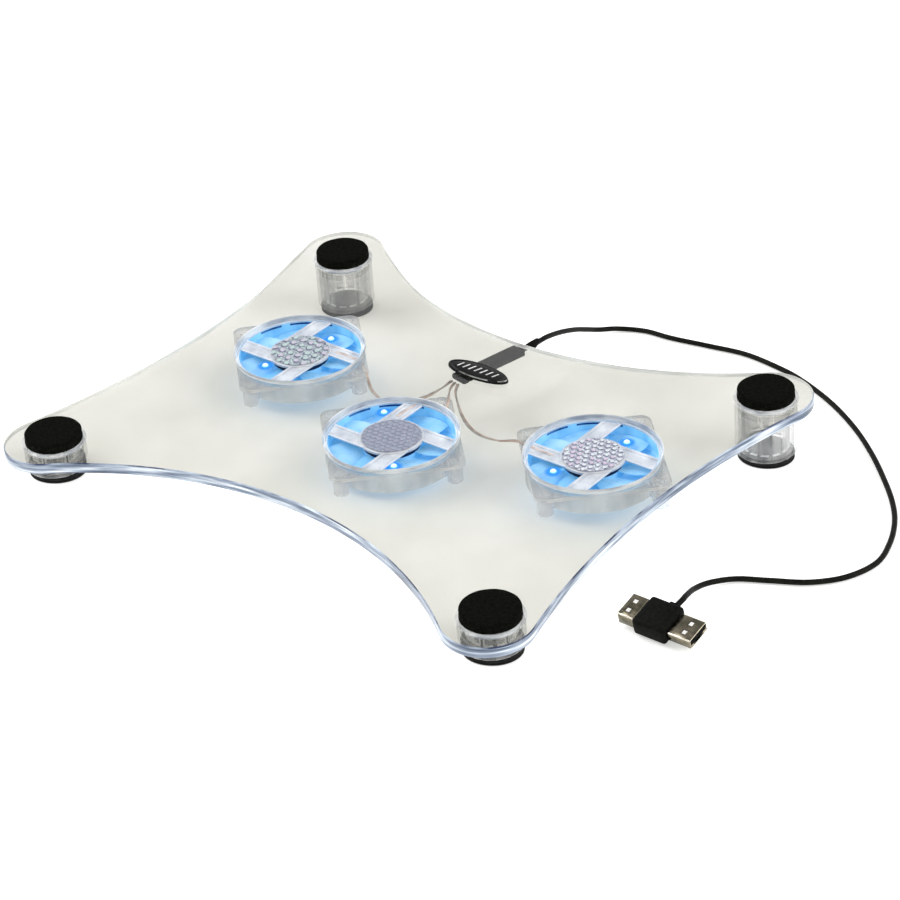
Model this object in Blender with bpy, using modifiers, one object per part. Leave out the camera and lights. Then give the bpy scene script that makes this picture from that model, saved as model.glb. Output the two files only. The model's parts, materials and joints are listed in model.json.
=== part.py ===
"""Clear acrylic laptop cooling pad with three lit fans, four snap-in feet and a USB cord.

Units are metres and +Z is up.  X runs along the width of the laptop, +Y points to the
raised rear edge, and the table is z = 0.  Everything on the plate is laid out in a
tilted pad frame whose z = 0 is the top face of the plate.
"""

from math import acos, atan2, cos, hypot, pi, radians, sin

import bmesh
import bpy
from mathutils import Matrix, Vector

MM = 0.001
GAP = 0.3 * MM

# Plate
PLATE_TOP = 1.3 * MM
PLATE_BOTTOM = -3.7 * MM
PLATE_TILT = radians(4.2)
PLATE_HEIGHT = 21.3 * MM
WAIST_X = 131.0 * MM
WAIST_Y = 79.9 * MM
TIP_RADIUS = 20.0 * MM
TIP_X = 124.0 * MM
TIP_Y = 102.2 * MM
OUTLINE_SHIFT = (-1.6 * MM, 0.9 * MM)
REAR_LEFT_REACH = (-3.4 * MM, 4.2 * MM)
REACH_FULL = 20.0 * MM
REACH_END = 60.0 * MM
FOOT_X = 123.0 * MM
FOOT_Y = 100.0 * MM
TIP_STEPS = 14
ARC_STEPS = 18
PAD_SHIFT_Y = -2.0 * MM * sin(PLATE_TILT)
# The pad is not quite even, so all of it moves to stand centred on the origin
CENTRING = (3.3 * MM, -2.9 * MM)

# Feet
FOAM_RADIUS = 12.7 * MM
FOAM_TOP = 6.5 * MM
CAP_FLANGE_RADIUS = 14.6 * MM
CAP_FLANGE_THICKNESS = 0.5 * MM
CAP_COLLAR_RADIUS = 12.2 * MM
CAP_COLLAR_HEIGHT = 0.4 * MM
CAP_NOTCH_WIDTH = 3.0 * MM
FINGER_OUTER_RADIUS = 10.9 * MM
FINGER_WALL = 1.4 * MM
FINGER_COUNT = 12
FINGER_SLOT = 1.6 * MM
FINGER_ROOT = -3.0 * MM
FOOT_HOLE_RADIUS = 11.3 * MM
CUP_RADIUS = 14.0 * MM
CUP_WALL = 1.5 * MM
CUP_ROUNDING = 1.8 * MM
RUBBER_RADIUS = 12.8 * MM
RUBBER_THICKNESS = 3.1 * MM

# Fans: 60 mm square, 10 mm deep, hung under the plate cornerwise
FAN_CENTRES = ((-84.3 * MM, 22.7 * MM), (0.0, -12.7 * MM), (84.3 * MM, 22.7 * MM))
FAN_SIZE = 60.0 * MM
FAN_DEPTH = 10.0 * MM
FAN_CORNER_RADIUS = 5.0 * MM
FAN_FLANGE_TOP = -4.3 * MM
FAN_FLANGE_THICKNESS = 1.6 * MM
FAN_BOTTOM = FAN_FLANGE_TOP - FAN_DEPTH
DUCT_RADIUS = 30.0 * MM
DUCT_BORE = 28.5 * MM
DUCT_TOP = -0.8 * MM
PLATE_HOLE_RADIUS = DUCT_RADIUS + GAP
POST_OFFSET = 25.0 * MM
POST_RADIUS = 3.6 * MM
POST_BORE = 2.2 * MM
ARM_INNER_EDGE = 5.0 * MM
ARM_WIDTH = 8.6 * MM
ARM_REACH = 29.2 * MM
ARM_RECESS = 0.15 * MM
ARM_THICKNESS = 1.0 * MM
DISC_RADIUS = 14.5 * MM
DISC_THICKNESS = 1.2 * MM
BOSS_RADIUS = 3.7 * MM
BOSS_BORE = 3.0 * MM
BOSS_END = -9.5 * MM
LABEL_RADIUS = 13.4 * MM
LABEL_THICKNESS = 0.3 * MM
BOARD_RADIUS = 11.3 * MM
BOARD_THICKNESS = 0.8 * MM
STATOR_RADIUS = 9.6 * MM
STATOR_CORE_RADIUS = 6.4 * MM
STATOR_THICKNESS = 4.0 * MM
STATOR_POLES = 4
SLEEVE_RADIUS = BOSS_BORE - GAP
SLEEVE_BORE = 1.3 * MM
SHAFT_RADIUS = 1.0 * MM
HUB_RADIUS = 13.0 * MM
HUB_WALL = 1.2 * MM
HUB_TOP = -2.4 * MM
HUB_BOTTOM = -11.6 * MM
BLADE_COUNT = 7
BLADE_TIP_RADIUS = 27.6 * MM
BLADE_THICKNESS = 0.9 * MM
BLADE_TOP = -4.6 * MM
BLADE_DROP = 6.2 * MM
BLADE_CHORD = radians(56.0)
BLADE_SWEEP = radians(14.0)

# Two lamps for each fan, on opposite sides of the hub, measured from the fan's centre
LED_SPOTS = (
    ((3.6 * MM, 18.1 * MM), (-6.4 * MM, -17.4 * MM)),
    ((-17.2 * MM, 15.6 * MM), (15.3 * MM, -17.2 * MM)),
    ((5.0 * MM, 18.2 * MM), (-8.0 * MM, -18.3 * MM)),
)
LED_RADIUS = 1.5 * MM
LED_TOP = -0.9 * MM
LED_BASE = -3.1 * MM
LED_TAB_WIDTH = 1.6 * MM
LED_TAB_THICKNESS = 0.6 * MM

# Badge, cable cover and wires
BADGE_CENTRE = (1.5 * MM, 48.2 * MM)
BADGE_HALF_LENGTH = 16.8 * MM
BADGE_HALF_WIDTH = 5.8 * MM
BADGE_HEIGHT = 2.2 * MM
COVER_FRONT = (-6.6 * MM, 48.3 * MM)
COVER_REAR = (0.5 * MM, 80.5 * MM)
COVER_WIDTH = 8.0 * MM
COVER_THICKNESS = 2.8 * MM
OUTLET_LENGTH = 4.0 * MM
OUTLET_WIDTH = 9.0 * MM
LEAD_RADIUS = 0.8 * MM
LEAD_DROP = -6.6 * MM

# Cord and plug
CORD_RADIUS = 1.25 * MM
CORD_SPACING = 7.0 * MM
RELIEF_LENGTH = 15.0 * MM
PLUG_CENTRE = (169.6 * MM, -49.9 * MM, 6.5 * MM)
PLUG_TILT = radians(16.7)
PLUG_LENGTH = 15.8 * MM
PLUG_WIDTH = 16.0 * MM
PLUG_HEIGHT = 8.0 * MM
PLUG_ROUNDING = 1.6 * MM
ENTRY_X = 2.0 * MM
ENTRY_LENGTH = 1.8 * MM
ENTRY_WIDTH = 5.0 * MM
ENTRY_HEIGHT = 4.2 * MM
MALE_WIDTH = 12.0 * MM
MALE_HEIGHT = 4.5 * MM
MALE_LENGTH = 11.0 * MM
FEMALE_WIDTH = 12.5 * MM
FEMALE_HEIGHT = 5.6 * MM
FEMALE_LENGTH = 7.8 * MM
SHELL_WALL = 0.4 * MM
TONGUE_WIDTH = 10.6 * MM
TONGUE_THICKNESS = 1.7 * MM

ROUND_STEPS = 32
SMALL_STEPS = 12

# Points the cord passes through, from its strain relief to the plug
CORD_ROUTE_MM = (
    (-1.4, 96.8, 21.7), (-2.2, 105.0, 20.9), (-4.1, 118.0, 17.6), (-6.3, 133.0, 12.4),
    (-7.4, 144.5, 7.6), (-7.2, 154.5, 3.6), (-2.6, 164.0, 1.7), (9.0, 170.2, 1.35),
    (23.5, 171.4, 1.35), (43.4, 175.2, 1.35), (61.5, 178.2, 1.35), (80.0, 176.0, 1.35),
    (96.5, 171.6, 1.35), (119.7, 160.6, 1.35), (141.5, 146.0, 1.35), (160.7, 129.5, 1.35),
    (177.6, 112.2, 1.35), (190.8, 97.0, 1.35), (200.6, 82.5, 1.35), (208.2, 65.5, 1.35),
    (212.0, 48.5, 1.35), (208.0, 31.5, 1.35), (198.0, 18.6, 1.35), (184.2, 9.9, 1.35),
    (172.5, 2.5, 1.5), (166.3, -8.0, 2.6), (166.4, -19.8, 5.4), (169.9, -30.8, 9.0),
    (171.5, -36.0, 10.0), (171.6, -40.23, 9.40),
)

# Wire routes under the plate, in the pad frame, from the outlet to each fan
LEAD_ROUTES_MM = (
    ((-10.4, 43.2), (-10.2, 37.0), (-10.6, 31.0), (-12.6, 23.5), (-18.5, 16.0),
     (-25.5, 13.0), (-32.0, 14.6), (-37.5, 17.5)),
    ((-8.2, 42.6), (-6.6, 37.6), (-2.8, 31.4)),
    ((-6.0, 42.2), (-2.6, 36.2), (3.0, 30.3), (12.9, 21.4), (22.3, 15.4), (31.0, 12.9),
     (39.6, 13.3), (46.2, 14.4)),
)

# name: base colour, metallic, roughness, transmission
FINISHES = {
    "acrylic": ((0.90, 0.93, 0.95), 0.0, 0.04, 1.0),
    "clear_plastic": ((0.88, 0.92, 0.94), 0.0, 0.08, 1.0),
    "foam": ((0.010, 0.010, 0.009), 0.0, 0.95, 0.0),
    "rubber": ((0.012, 0.012, 0.012), 0.0, 0.70, 0.0),
    "blue_plastic": ((0.10, 0.45, 0.85), 0.0, 0.15, 0.6),
    "motor_board": ((0.02, 0.06, 0.20), 0.0, 0.50, 0.0),
    "motor_iron": ((0.25, 0.25, 0.27), 1.0, 0.45, 0.0),
    "brass": ((0.62, 0.45, 0.20), 1.0, 0.35, 0.0),
    "steel": ((0.62, 0.60, 0.56), 1.0, 0.28, 0.0),
    "led_lens": ((0.30, 0.75, 1.00), 0.0, 0.20, 0.0),
    "sticker": ((0.72, 0.72, 0.80), 0.6, 0.25, 0.0),
    "gloss_black": ((0.008, 0.008, 0.008), 0.0, 0.08, 0.0),
    "matte_black": ((0.015, 0.015, 0.014), 0.0, 0.55, 0.0),
    "cord_black": ((0.012, 0.012, 0.011), 0.0, 0.50, 0.0),
    "lead_insulation": ((0.80, 0.62, 0.55), 0.0, 0.40, 0.0),
    "nickel": ((0.55, 0.51, 0.44), 1.0, 0.30, 0.0),
}


def clear_scene():
    """Remove every object already in the scene."""
    for item in list(bpy.data.objects):
        bpy.data.objects.remove(item, do_unlink=True)


def make_collection(name):
    """Return a new collection linked to the scene."""
    group = bpy.data.collections.new(name)
    bpy.context.scene.collection.children.link(group)
    return group


def make_finishes():
    """Build one Principled material for each finish."""
    made = {}
    for name, (colour, metallic, roughness, transmission) in FINISHES.items():
        finish = bpy.data.materials.new(name)
        finish.use_nodes = True
        shader = finish.node_tree.nodes["Principled BSDF"]
        shader.inputs["Base Color"].default_value = (*colour, 1.0)
        shader.inputs["Metallic"].default_value = metallic
        shader.inputs["Roughness"].default_value = roughness
        shader.inputs["Transmission Weight"].default_value = transmission
        made[name] = finish
    glow = made["led_lens"].node_tree.nodes["Principled BSDF"]
    glow.inputs["Emission Color"].default_value = (0.35, 0.80, 1.0, 1.0)
    glow.inputs["Emission Strength"].default_value = 4.0
    return made


clear_scene()
PARTS = make_collection("cooling_pad")
CUTTERS = make_collection("cutters")
FINISH = make_finishes()


def add_empty(name, location, rotation):
    """Add a frame that other pieces are parented to."""
    frame = bpy.data.objects.new(name, None)
    frame.location = location
    frame.rotation_euler = rotation
    frame.empty_display_size = 0.01
    PARTS.objects.link(frame)
    return frame


def add_part(name, mesh, finish, parent, location=(0, 0, 0), rotation=(0, 0, 0)):
    """Put a mesh in the parts collection under its frame."""
    part = bpy.data.objects.new(name, mesh)
    part.location = location
    part.rotation_euler = rotation
    part.parent = parent
    if not mesh.materials:
        mesh.materials.append(FINISH[finish])
    PARTS.objects.link(part)
    return part


def add_cutter(mesh):
    """Put a mesh in the cutters collection."""
    cutter = bpy.data.objects.new(mesh.name, mesh)
    cutter.hide_render = True
    cutter.display_type = "WIRE"
    CUTTERS.objects.link(cutter)
    return cutter


def bake(shape):
    """Apply a shape's modifiers and return the resulting mesh."""
    bpy.context.view_layer.update()
    evaluated = shape.evaluated_get(bpy.context.evaluated_depsgraph_get())
    mesh = bpy.data.meshes.new_from_object(evaluated)
    mesh.name = shape.name
    bpy.data.objects.remove(shape, do_unlink=True)
    return mesh


def tidy(mesh):
    """Weld the vertices of a mesh and turn its faces outward."""
    work = bmesh.new()
    work.from_mesh(mesh)
    bmesh.ops.remove_doubles(work, verts=work.verts, dist=1e-6)
    bmesh.ops.recalc_face_normals(work, faces=work.faces)
    work.to_mesh(mesh)
    work.free()
    return mesh


def combine(name, base, steps):
    """Boolean a list of (operation, mesh) steps onto a base mesh."""
    body = add_cutter(base)
    body.name = name
    operands = []
    for operation, mesh in steps:
        operand = add_cutter(mesh)
        operands.append(operand)
        boolean = body.modifiers.new(operation.lower(), "BOOLEAN")
        boolean.operation = operation
        boolean.solver = "EXACT"
        boolean.object = operand
    mesh = bake(body)
    for operand in operands:
        bpy.data.objects.remove(operand, do_unlink=True)
    return mesh


def smooth(mesh, angle=40.0):
    """Shade a mesh smooth and keep its hard corners sharp."""
    mesh.shade_smooth()
    work = bmesh.new()
    work.from_mesh(mesh)
    limit = radians(angle)
    for edge in work.edges:
        edge.smooth = len(edge.link_faces) == 2 and edge.calc_face_angle(pi) < limit
    work.to_mesh(mesh)
    work.free()
    return mesh


def circle(radius, steps, centre=(0.0, 0.0)):
    """Return the points of a circle, counter-clockwise."""
    turn = 2.0 * pi / steps
    return [(centre[0] + radius * cos(i * turn), centre[1] + radius * sin(i * turn))
            for i in range(steps)]


def slab(name, loops, top, bottom):
    """Fill an outline with holes and give it a thickness."""
    outline = bpy.data.curves.new(name, "CURVE")
    outline.dimensions = "2D"
    outline.fill_mode = "BOTH"
    outline.extrude = 0.5 * (top - bottom)
    for loop in loops:
        spline = outline.splines.new("POLY")
        spline.points.add(len(loop) - 1)
        for point, (x, y) in zip(spline.points, loop):
            point.co = (x, y, 0.0, 1.0)
        spline.use_cyclic_u = True
    mesh = bake(add_cutter_curve(outline))
    mesh.transform(Matrix.Translation((0.0, 0.0, 0.5 * (top + bottom))))
    return tidy(mesh)


def add_cutter_curve(curve):
    """Put a curve in the cutters collection so it can be baked."""
    shape = bpy.data.objects.new(curve.name, curve)
    shape.hide_render = True
    CUTTERS.objects.link(shape)
    return shape


def turned(name, profile, steps=ROUND_STEPS, closed=False):
    """Turn a profile of (radius, height) points about the vertical axis."""
    mesh = bpy.data.meshes.new(name)
    points = [(radius, 0.0, height) for radius, height in profile]
    edges = [(i, i + 1) for i in range(len(points) - 1)]
    if closed:
        edges.append((len(points) - 1, 0))
    mesh.from_pydata(points, edges, [])
    shape = add_cutter(mesh)
    screw = shape.modifiers.new("turn", "SCREW")
    screw.steps = steps
    screw.render_steps = steps
    screw.use_merge_vertices = True
    screw.merge_threshold = 0.00001
    return smooth(tidy(bake(shape)))


def cylinder(name, radius, top, bottom, steps=ROUND_STEPS):
    """Return a solid cylinder."""
    return turned(name, [(0.0, top), (radius, top), (radius, bottom), (0.0, bottom)], steps)


def box(name, size, centre):
    """Return a box of a given size about a centre."""
    work = bmesh.new()
    shape = Matrix.Translation(centre) @ Matrix.Diagonal((*size, 1.0))
    bmesh.ops.create_cube(work, size=1.0, matrix=shape)
    mesh = bpy.data.meshes.new(name)
    work.to_mesh(mesh)
    work.free()
    return mesh


def merged(name, meshes):
    """Gather separate meshes into one mesh."""
    work = bmesh.new()
    for mesh in meshes:
        work.from_mesh(mesh)
    joined = bpy.data.meshes.new(name)
    work.to_mesh(joined)
    work.free()
    return joined


def moved(mesh, matrix):
    """Transform a mesh and return it."""
    mesh.transform(matrix)
    return mesh


def rounded_box(name, size, rounding, segments=3):
    """Return a box with rounded edges about the origin."""
    shape = add_cutter(box(name, size, (0.0, 0.0, 0.0)))
    bevel = shape.modifiers.new("round", "BEVEL")
    bevel.width = rounding
    bevel.segments = segments
    bevel.limit_method = "NONE"
    return smooth(bake(shape))


def tube_curve(name, points, radius, finish, parent=None):
    """Run a round tube with closed ends through points."""
    curve = bpy.data.curves.new(name, "CURVE")
    curve.dimensions = "3D"
    curve.bevel_depth = radius
    curve.bevel_resolution = 2
    curve.use_fill_caps = True
    spline = curve.splines.new("POLY")
    spline.points.add(len(points) - 1)
    for target, point in zip(spline.points, points):
        target.co = (*point, 1.0)
    curve.materials.append(FINISH[finish])
    shape = bpy.data.objects.new(name, curve)
    shape.parent = parent
    PARTS.objects.link(shape)
    return shape


def smooth_path(route, spacing):
    """Resample a Catmull-Rom curve through a route at an even spacing."""
    knots = [Vector(point) for point in route]
    knots = [2 * knots[0] - knots[1]] + knots + [2 * knots[-1] - knots[-2]]
    fine = []
    substeps = 24
    for i in range(1, len(knots) - 2):
        a, b, c, d = knots[i - 1:i + 3]
        for j in range(substeps):
            t = j / substeps
            fine.append(0.5 * ((2 * b) + (c - a) * t + (2 * a - 5 * b + 4 * c - d) * t * t
                               + (3 * b - a - 3 * c + d) * t * t * t))
    fine.append(knots[-2])
    lengths = [0.0]
    for before, after in zip(fine, fine[1:]):
        lengths.append(lengths[-1] + (after - before).length)
    count = max(2, round(lengths[-1] / spacing))
    path = []
    cursor = 0
    for i in range(count + 1):
        target = lengths[-1] * i / count
        while cursor < len(lengths) - 2 and lengths[cursor + 1] < target:
            cursor += 1
        span = lengths[cursor + 1] - lengths[cursor]
        blend = (target - lengths[cursor]) / span
        path.append(fine[cursor].lerp(fine[cursor + 1], min(1.0, blend)))
    return path


def plate_outline():
    """Four concave sides joined by rounded tips round the feet."""
    side_reach = WAIST_X - TIP_RADIUS
    end_reach = WAIST_Y - TIP_RADIUS
    tip_square = TIP_X ** 2 + TIP_Y ** 2
    side_centre = (side_reach ** 2 - tip_square) / (2.0 * (side_reach - TIP_X))
    end_centre = (end_reach ** 2 - tip_square) / (2.0 * (end_reach - TIP_Y))
    side_radius = side_centre - WAIST_X
    end_radius = end_centre - WAIST_Y
    side_angle = atan2(TIP_Y, side_centre - TIP_X)
    end_angle = atan2(TIP_X, end_centre - TIP_Y)
    quarter = []
    for i in range(ARC_STEPS // 2):
        angle = side_angle * i / (ARC_STEPS // 2)
        quarter.append((side_centre - side_radius * cos(angle), side_radius * sin(angle)))
    start = -side_angle
    stop = 0.5 * pi + end_angle
    for i in range(TIP_STEPS + 1):
        angle = start + (stop - start) * i / TIP_STEPS
        quarter.append((TIP_X + TIP_RADIUS * cos(angle), TIP_Y + TIP_RADIUS * sin(angle)))
    for i in range(ARC_STEPS // 2 - 1, 0, -1):
        angle = end_angle * i / (ARC_STEPS // 2)
        quarter.append((end_radius * sin(angle), end_centre - end_radius * cos(angle)))
    outline = list(quarter)
    outline.append((0.0, WAIST_Y))
    outline += [(-x, y) for x, y in reversed(quarter[1:])]
    outline.append((-WAIST_X, 0.0))
    outline += [(-x, -y) for x, y in quarter[1:]]
    outline.append((0.0, -WAIST_Y))
    outline += [(x, -y) for x, y in reversed(quarter[1:])]
    return [placed(x, y) for x, y in outline]


def placed(x, y):
    """Shift an outline point, with the rear left tip reaching a little further out."""
    distance = hypot(x + TIP_X, y - TIP_Y)
    share = min(1.0, max(0.0, (REACH_END - distance) / (REACH_END - REACH_FULL)))
    share = share * share * (3.0 - 2.0 * share)
    return (x + OUTLINE_SHIFT[0] + share * REAR_LEFT_REACH[0],
            y + OUTLINE_SHIFT[1] + share * REAR_LEFT_REACH[1])


def make_base_plate(pad):
    """The clear plate with its fan openings and foot holes."""
    loops = [plate_outline()]
    loops += [circle(PLATE_HOLE_RADIUS, ROUND_STEPS, centre) for centre in FAN_CENTRES]
    for side in (-1, 1):
        for end in (-1, 1):
            loops.append(circle(FOOT_HOLE_RADIUS, ROUND_STEPS, (side * FOOT_X, end * FOOT_Y)))
    mesh = slab("base_plate", loops, PLATE_TOP, PLATE_BOTTOM)
    add_part("base_plate", smooth(mesh), "acrylic", pad)


def table_depth(y):
    """How far the table lies below the pad frame at a given y of that frame."""
    return -(PLATE_HEIGHT + y * sin(PLATE_TILT)) / cos(PLATE_TILT)


def make_cap(name, tip):
    """Snap-in cap: a flange, a notched collar and a ring of long fingers."""
    base = PLATE_TOP + GAP
    top = base + CAP_FLANGE_THICKNESS
    crown = top + CAP_COLLAR_HEIGHT
    inner = FINGER_OUTER_RADIUS - FINGER_WALL
    profile = [
        (0.0, crown), (CAP_COLLAR_RADIUS, crown), (CAP_COLLAR_RADIUS, top),
        (CAP_FLANGE_RADIUS, top), (CAP_FLANGE_RADIUS, base), (FINGER_OUTER_RADIUS, base),
        (FINGER_OUTER_RADIUS, tip), (inner, tip), (inner, base), (0.0, base),
    ]
    blank = turned(name, profile)
    depth = FINGER_ROOT - tip + MM
    slots = []
    for i in range(FINGER_COUNT):
        turn = Matrix.Rotation(2.0 * pi * (i + 0.5) / FINGER_COUNT, 4, "Z")
        middle = (FINGER_OUTER_RADIUS, 0.0, FINGER_ROOT - 0.5 * depth)
        cut = box("slot", (2.0 * FINGER_WALL + 2.0 * MM, FINGER_SLOT, depth), middle)
        slots.append(moved(cut, turn))
    notches = []
    notch_depth = 2.0 * MM
    for i in range(4):
        turn = Matrix.Rotation(0.5 * pi * i + 0.4, 4, "Z")
        middle = (CAP_COLLAR_RADIUS, 0.0, top + 0.5 * CAP_COLLAR_HEIGHT + 0.1 * MM)
        height = CAP_COLLAR_HEIGHT + 0.2 * MM
        cut = box("notch", (notch_depth, CAP_NOTCH_WIDTH, height), middle)
        notches.append(moved(cut, turn))
    steps = [("DIFFERENCE", merged("slots", slots)), ("DIFFERENCE", merged("notches", notches))]
    return smooth(combine(name, blank, steps))


def make_cup(name, bottom):
    """Hollow clear leg, open at the top and closed at its floor."""
    top = PLATE_BOTTOM - GAP
    inner = CUP_RADIUS - CUP_WALL
    profile = [(inner, top), (CUP_RADIUS, top)]
    for i in range(3):
        angle = 0.5 * pi * i / 2
        profile.append((CUP_RADIUS - CUP_ROUNDING * (1.0 - cos(angle)),
                        bottom + CUP_ROUNDING * (1.0 - sin(angle))))
    profile += [(0.0, bottom), (0.0, bottom + CUP_WALL), (inner, bottom + CUP_WALL)]
    return turned(name, profile, closed=True)


def make_rubber(name, foot_y, top):
    """Rubber pad whose underside is cut level with the table."""
    work = bmesh.new()
    ring = circle(RUBBER_RADIUS, ROUND_STEPS)
    upper = [work.verts.new((x, y, top)) for x, y in ring]
    lower = [work.verts.new((x, y, table_depth(foot_y + y))) for x, y in ring]
    work.faces.new(upper)
    work.faces.new(list(reversed(lower)))
    for i in range(len(ring)):
        j = (i + 1) % len(ring)
        work.faces.new((upper[i], lower[i], lower[j], upper[j]))
    mesh = bpy.data.meshes.new(name)
    work.to_mesh(mesh)
    work.free()
    return smooth(tidy(mesh))


def make_foot(pad, label, x, y):
    """One foot: foam pad, cap, clear leg and rubber pad."""
    rubber_top = table_depth(y) + RUBBER_THICKNESS
    cup_bottom = rubber_top + GAP
    tip = cup_bottom + CUP_WALL + 0.8 * MM
    foam_base = PLATE_TOP + 2.0 * GAP + CAP_FLANGE_THICKNESS + CAP_COLLAR_HEIGHT
    foam = cylinder("foam_pad", FOAM_RADIUS, FOAM_TOP, foam_base)
    spot = (x, y, 0.0)
    add_part("foam_pad_" + label, foam, "foam", pad, spot)
    add_part("foot_cap_" + label, make_cap("foot_cap", tip), "clear_plastic", pad, spot)
    add_part("foot_leg_" + label, make_cup("foot_leg", cup_bottom), "clear_plastic", pad, spot)
    add_part("rubber_foot_" + label, make_rubber("rubber", y, rubber_top), "rubber", pad, spot)


def make_housing():
    """Fan housing: flange, duct, corner posts, four arms and the motor disc."""
    half = 0.5 * FAN_SIZE
    inset = half - FAN_CORNER_RADIUS
    corner_steps = 4
    outline = []
    for quarter in range(4):
        middle = 0.25 * pi + 0.5 * pi * quarter
        centre_x = inset * (1 if cos(middle) > 0 else -1)
        centre_y = inset * (1 if sin(middle) > 0 else -1)
        for i in range(corner_steps + 1):
            angle = 0.5 * pi * (quarter + i / corner_steps)
            outline.append((centre_x + FAN_CORNER_RADIUS * cos(angle),
                            centre_y + FAN_CORNER_RADIUS * sin(angle)))
    flange = slab("fan_housing", [outline], FAN_FLANGE_TOP, FAN_FLANGE_TOP - FAN_FLANGE_THICKNESS)
    flange = moved(flange, Matrix.Rotation(0.25 * pi, 4, "Z"))
    duct = cylinder("duct", DUCT_RADIUS - 0.05 * MM, DUCT_TOP, FAN_BOTTOM)
    posts = []
    pins = []
    orbit = hypot(POST_OFFSET, POST_OFFSET)
    post_top = FAN_FLANGE_TOP - 0.5 * FAN_FLANGE_THICKNESS
    for i in range(4):
        spot = Matrix.Rotation(0.5 * pi * i, 4, "Z") @ Matrix.Translation((orbit, 0.0, 0.0))
        post = cylinder("post", POST_RADIUS, post_top, FAN_BOTTOM, SMALL_STEPS)
        posts.append(moved(post, spot))
        pin = cylinder("pin", POST_BORE, 0.0, FAN_BOTTOM - MM, SMALL_STEPS)
        pins.append(moved(pin, spot))
    webs = []
    web_height = post_top - FAN_BOTTOM - MM
    for i in range(4):
        middle = (0.5 * (DUCT_BORE + orbit), 0.0, FAN_BOTTOM + 0.5 * web_height + 0.5 * MM)
        web = box("web", (orbit - DUCT_BORE, 1.4 * MM, web_height), middle)
        webs.append(moved(web, Matrix.Rotation(0.5 * pi * i, 4, "Z")))
    bore = cylinder("bore", DUCT_BORE, MM, FAN_BOTTOM - MM)
    arms = []
    arm_y = ARM_INNER_EDGE + 0.5 * ARM_WIDTH
    arm_top = DUCT_TOP - ARM_RECESS
    for i in range(4):
        middle = (0.5 * ARM_REACH, arm_y, arm_top - 0.5 * ARM_THICKNESS)
        arm = box("arm", (ARM_REACH - 0.6 * MM, ARM_WIDTH, ARM_THICKNESS), middle)
        arms.append(moved(arm, Matrix.Rotation(0.5 * pi * i, 4, "Z")))
    reach = cylinder("reach", ARM_REACH, 0.0, DUCT_TOP - 2.0 * ARM_THICKNESS)
    arms = combine("arms", merged("arms", arms), [("INTERSECT", reach)])
    disc_bottom = DUCT_TOP - DISC_THICKNESS
    disc = turned("disc", [(0.0, DUCT_TOP), (DISC_RADIUS, DUCT_TOP), (DISC_RADIUS, disc_bottom),
                           (BOSS_RADIUS, disc_bottom), (BOSS_RADIUS, BOSS_END), (0.0, BOSS_END)])
    seat = cylinder("seat", BOSS_BORE, disc_bottom - 0.2 * MM, BOSS_END - MM, SMALL_STEPS)
    spider = combine("spider", disc, [("UNION", arms), ("DIFFERENCE", seat)])
    steps = [
        ("UNION", duct), ("UNION", merged("posts", posts)), ("UNION", merged("webs", webs)),
        ("DIFFERENCE", bore), ("UNION", spider), ("DIFFERENCE", merged("pins", pins)),
    ]
    return smooth(combine("fan_housing", flange, steps))


def make_blade(start):
    """One swept blade, low at its trailing edge."""
    work = bmesh.new()
    radial = 3
    chordwise = 4
    root = HUB_RADIUS - 0.5 * HUB_WALL
    layers = []
    for offset in (0.5, -0.5):
        grid = []
        for i in range(radial):
            reach = i / (radial - 1)
            radius = root + (BLADE_TIP_RADIUS - root) * reach
            row = []
            for j in range(chordwise):
                along = j / (chordwise - 1)
                angle = start + BLADE_CHORD * along + BLADE_SWEEP * reach * reach
                height = BLADE_TOP - BLADE_DROP * along ** 1.2 + offset * BLADE_THICKNESS
                row.append(work.verts.new((radius * cos(angle), radius * sin(angle), height)))
            grid.append(row)
        layers.append(grid)
    upper, lower = layers
    for i in range(radial - 1):
        for j in range(chordwise - 1):
            work.faces.new((upper[i][j], upper[i + 1][j], upper[i + 1][j + 1], upper[i][j + 1]))
            work.faces.new((lower[i][j], lower[i][j + 1], lower[i + 1][j + 1], lower[i + 1][j]))
    for j in range(chordwise - 1):
        work.faces.new((upper[0][j], upper[0][j + 1], lower[0][j + 1], lower[0][j]))
        last = radial - 1
        work.faces.new((upper[last][j + 1], upper[last][j], lower[last][j], lower[last][j + 1]))
    for i in range(radial - 1):
        work.faces.new((upper[i + 1][0], upper[i][0], lower[i][0], lower[i + 1][0]))
        end = chordwise - 1
        work.faces.new((upper[i][end], upper[i + 1][end], lower[i + 1][end], lower[i][end]))
    bmesh.ops.triangulate(work, faces=work.faces)
    bmesh.ops.recalc_face_normals(work, faces=work.faces)
    mesh = bpy.data.meshes.new("blade")
    work.to_mesh(mesh)
    work.free()
    return mesh


def make_rotor():
    """Hub cup with its ring of blades."""
    inner = HUB_RADIUS - HUB_WALL
    floor = HUB_BOTTOM + HUB_WALL
    hub = turned("rotor", [
        (0.0, floor), (inner, floor), (inner, HUB_TOP), (HUB_RADIUS, HUB_TOP),
        (HUB_RADIUS, HUB_BOTTOM), (0.0, HUB_BOTTOM),
    ])
    blades = [make_blade(2.0 * pi * i / BLADE_COUNT) for i in range(BLADE_COUNT)]
    return smooth(combine("rotor", hub, [("UNION", merged("blades", blades))]), 35.0)


def make_stator():
    """Motor core with four poles around the bearing boss."""
    inner = BOSS_RADIUS + GAP
    points = []
    steps = 40
    pole_share = 0.6
    for i in range(steps):
        angle = 2.0 * pi * i / steps
        phase = (i * STATOR_POLES / steps) % 1.0
        radius = STATOR_RADIUS if phase < pole_share else STATOR_CORE_RADIUS
        points.append((radius * cos(angle), radius * sin(angle)))
    top = DUCT_TOP - DISC_THICKNESS - 2.0 * GAP - BOARD_THICKNESS
    loops = [points, circle(inner, SMALL_STEPS)]
    return slab("stator", loops, top, top - STATOR_THICKNESS)


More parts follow.
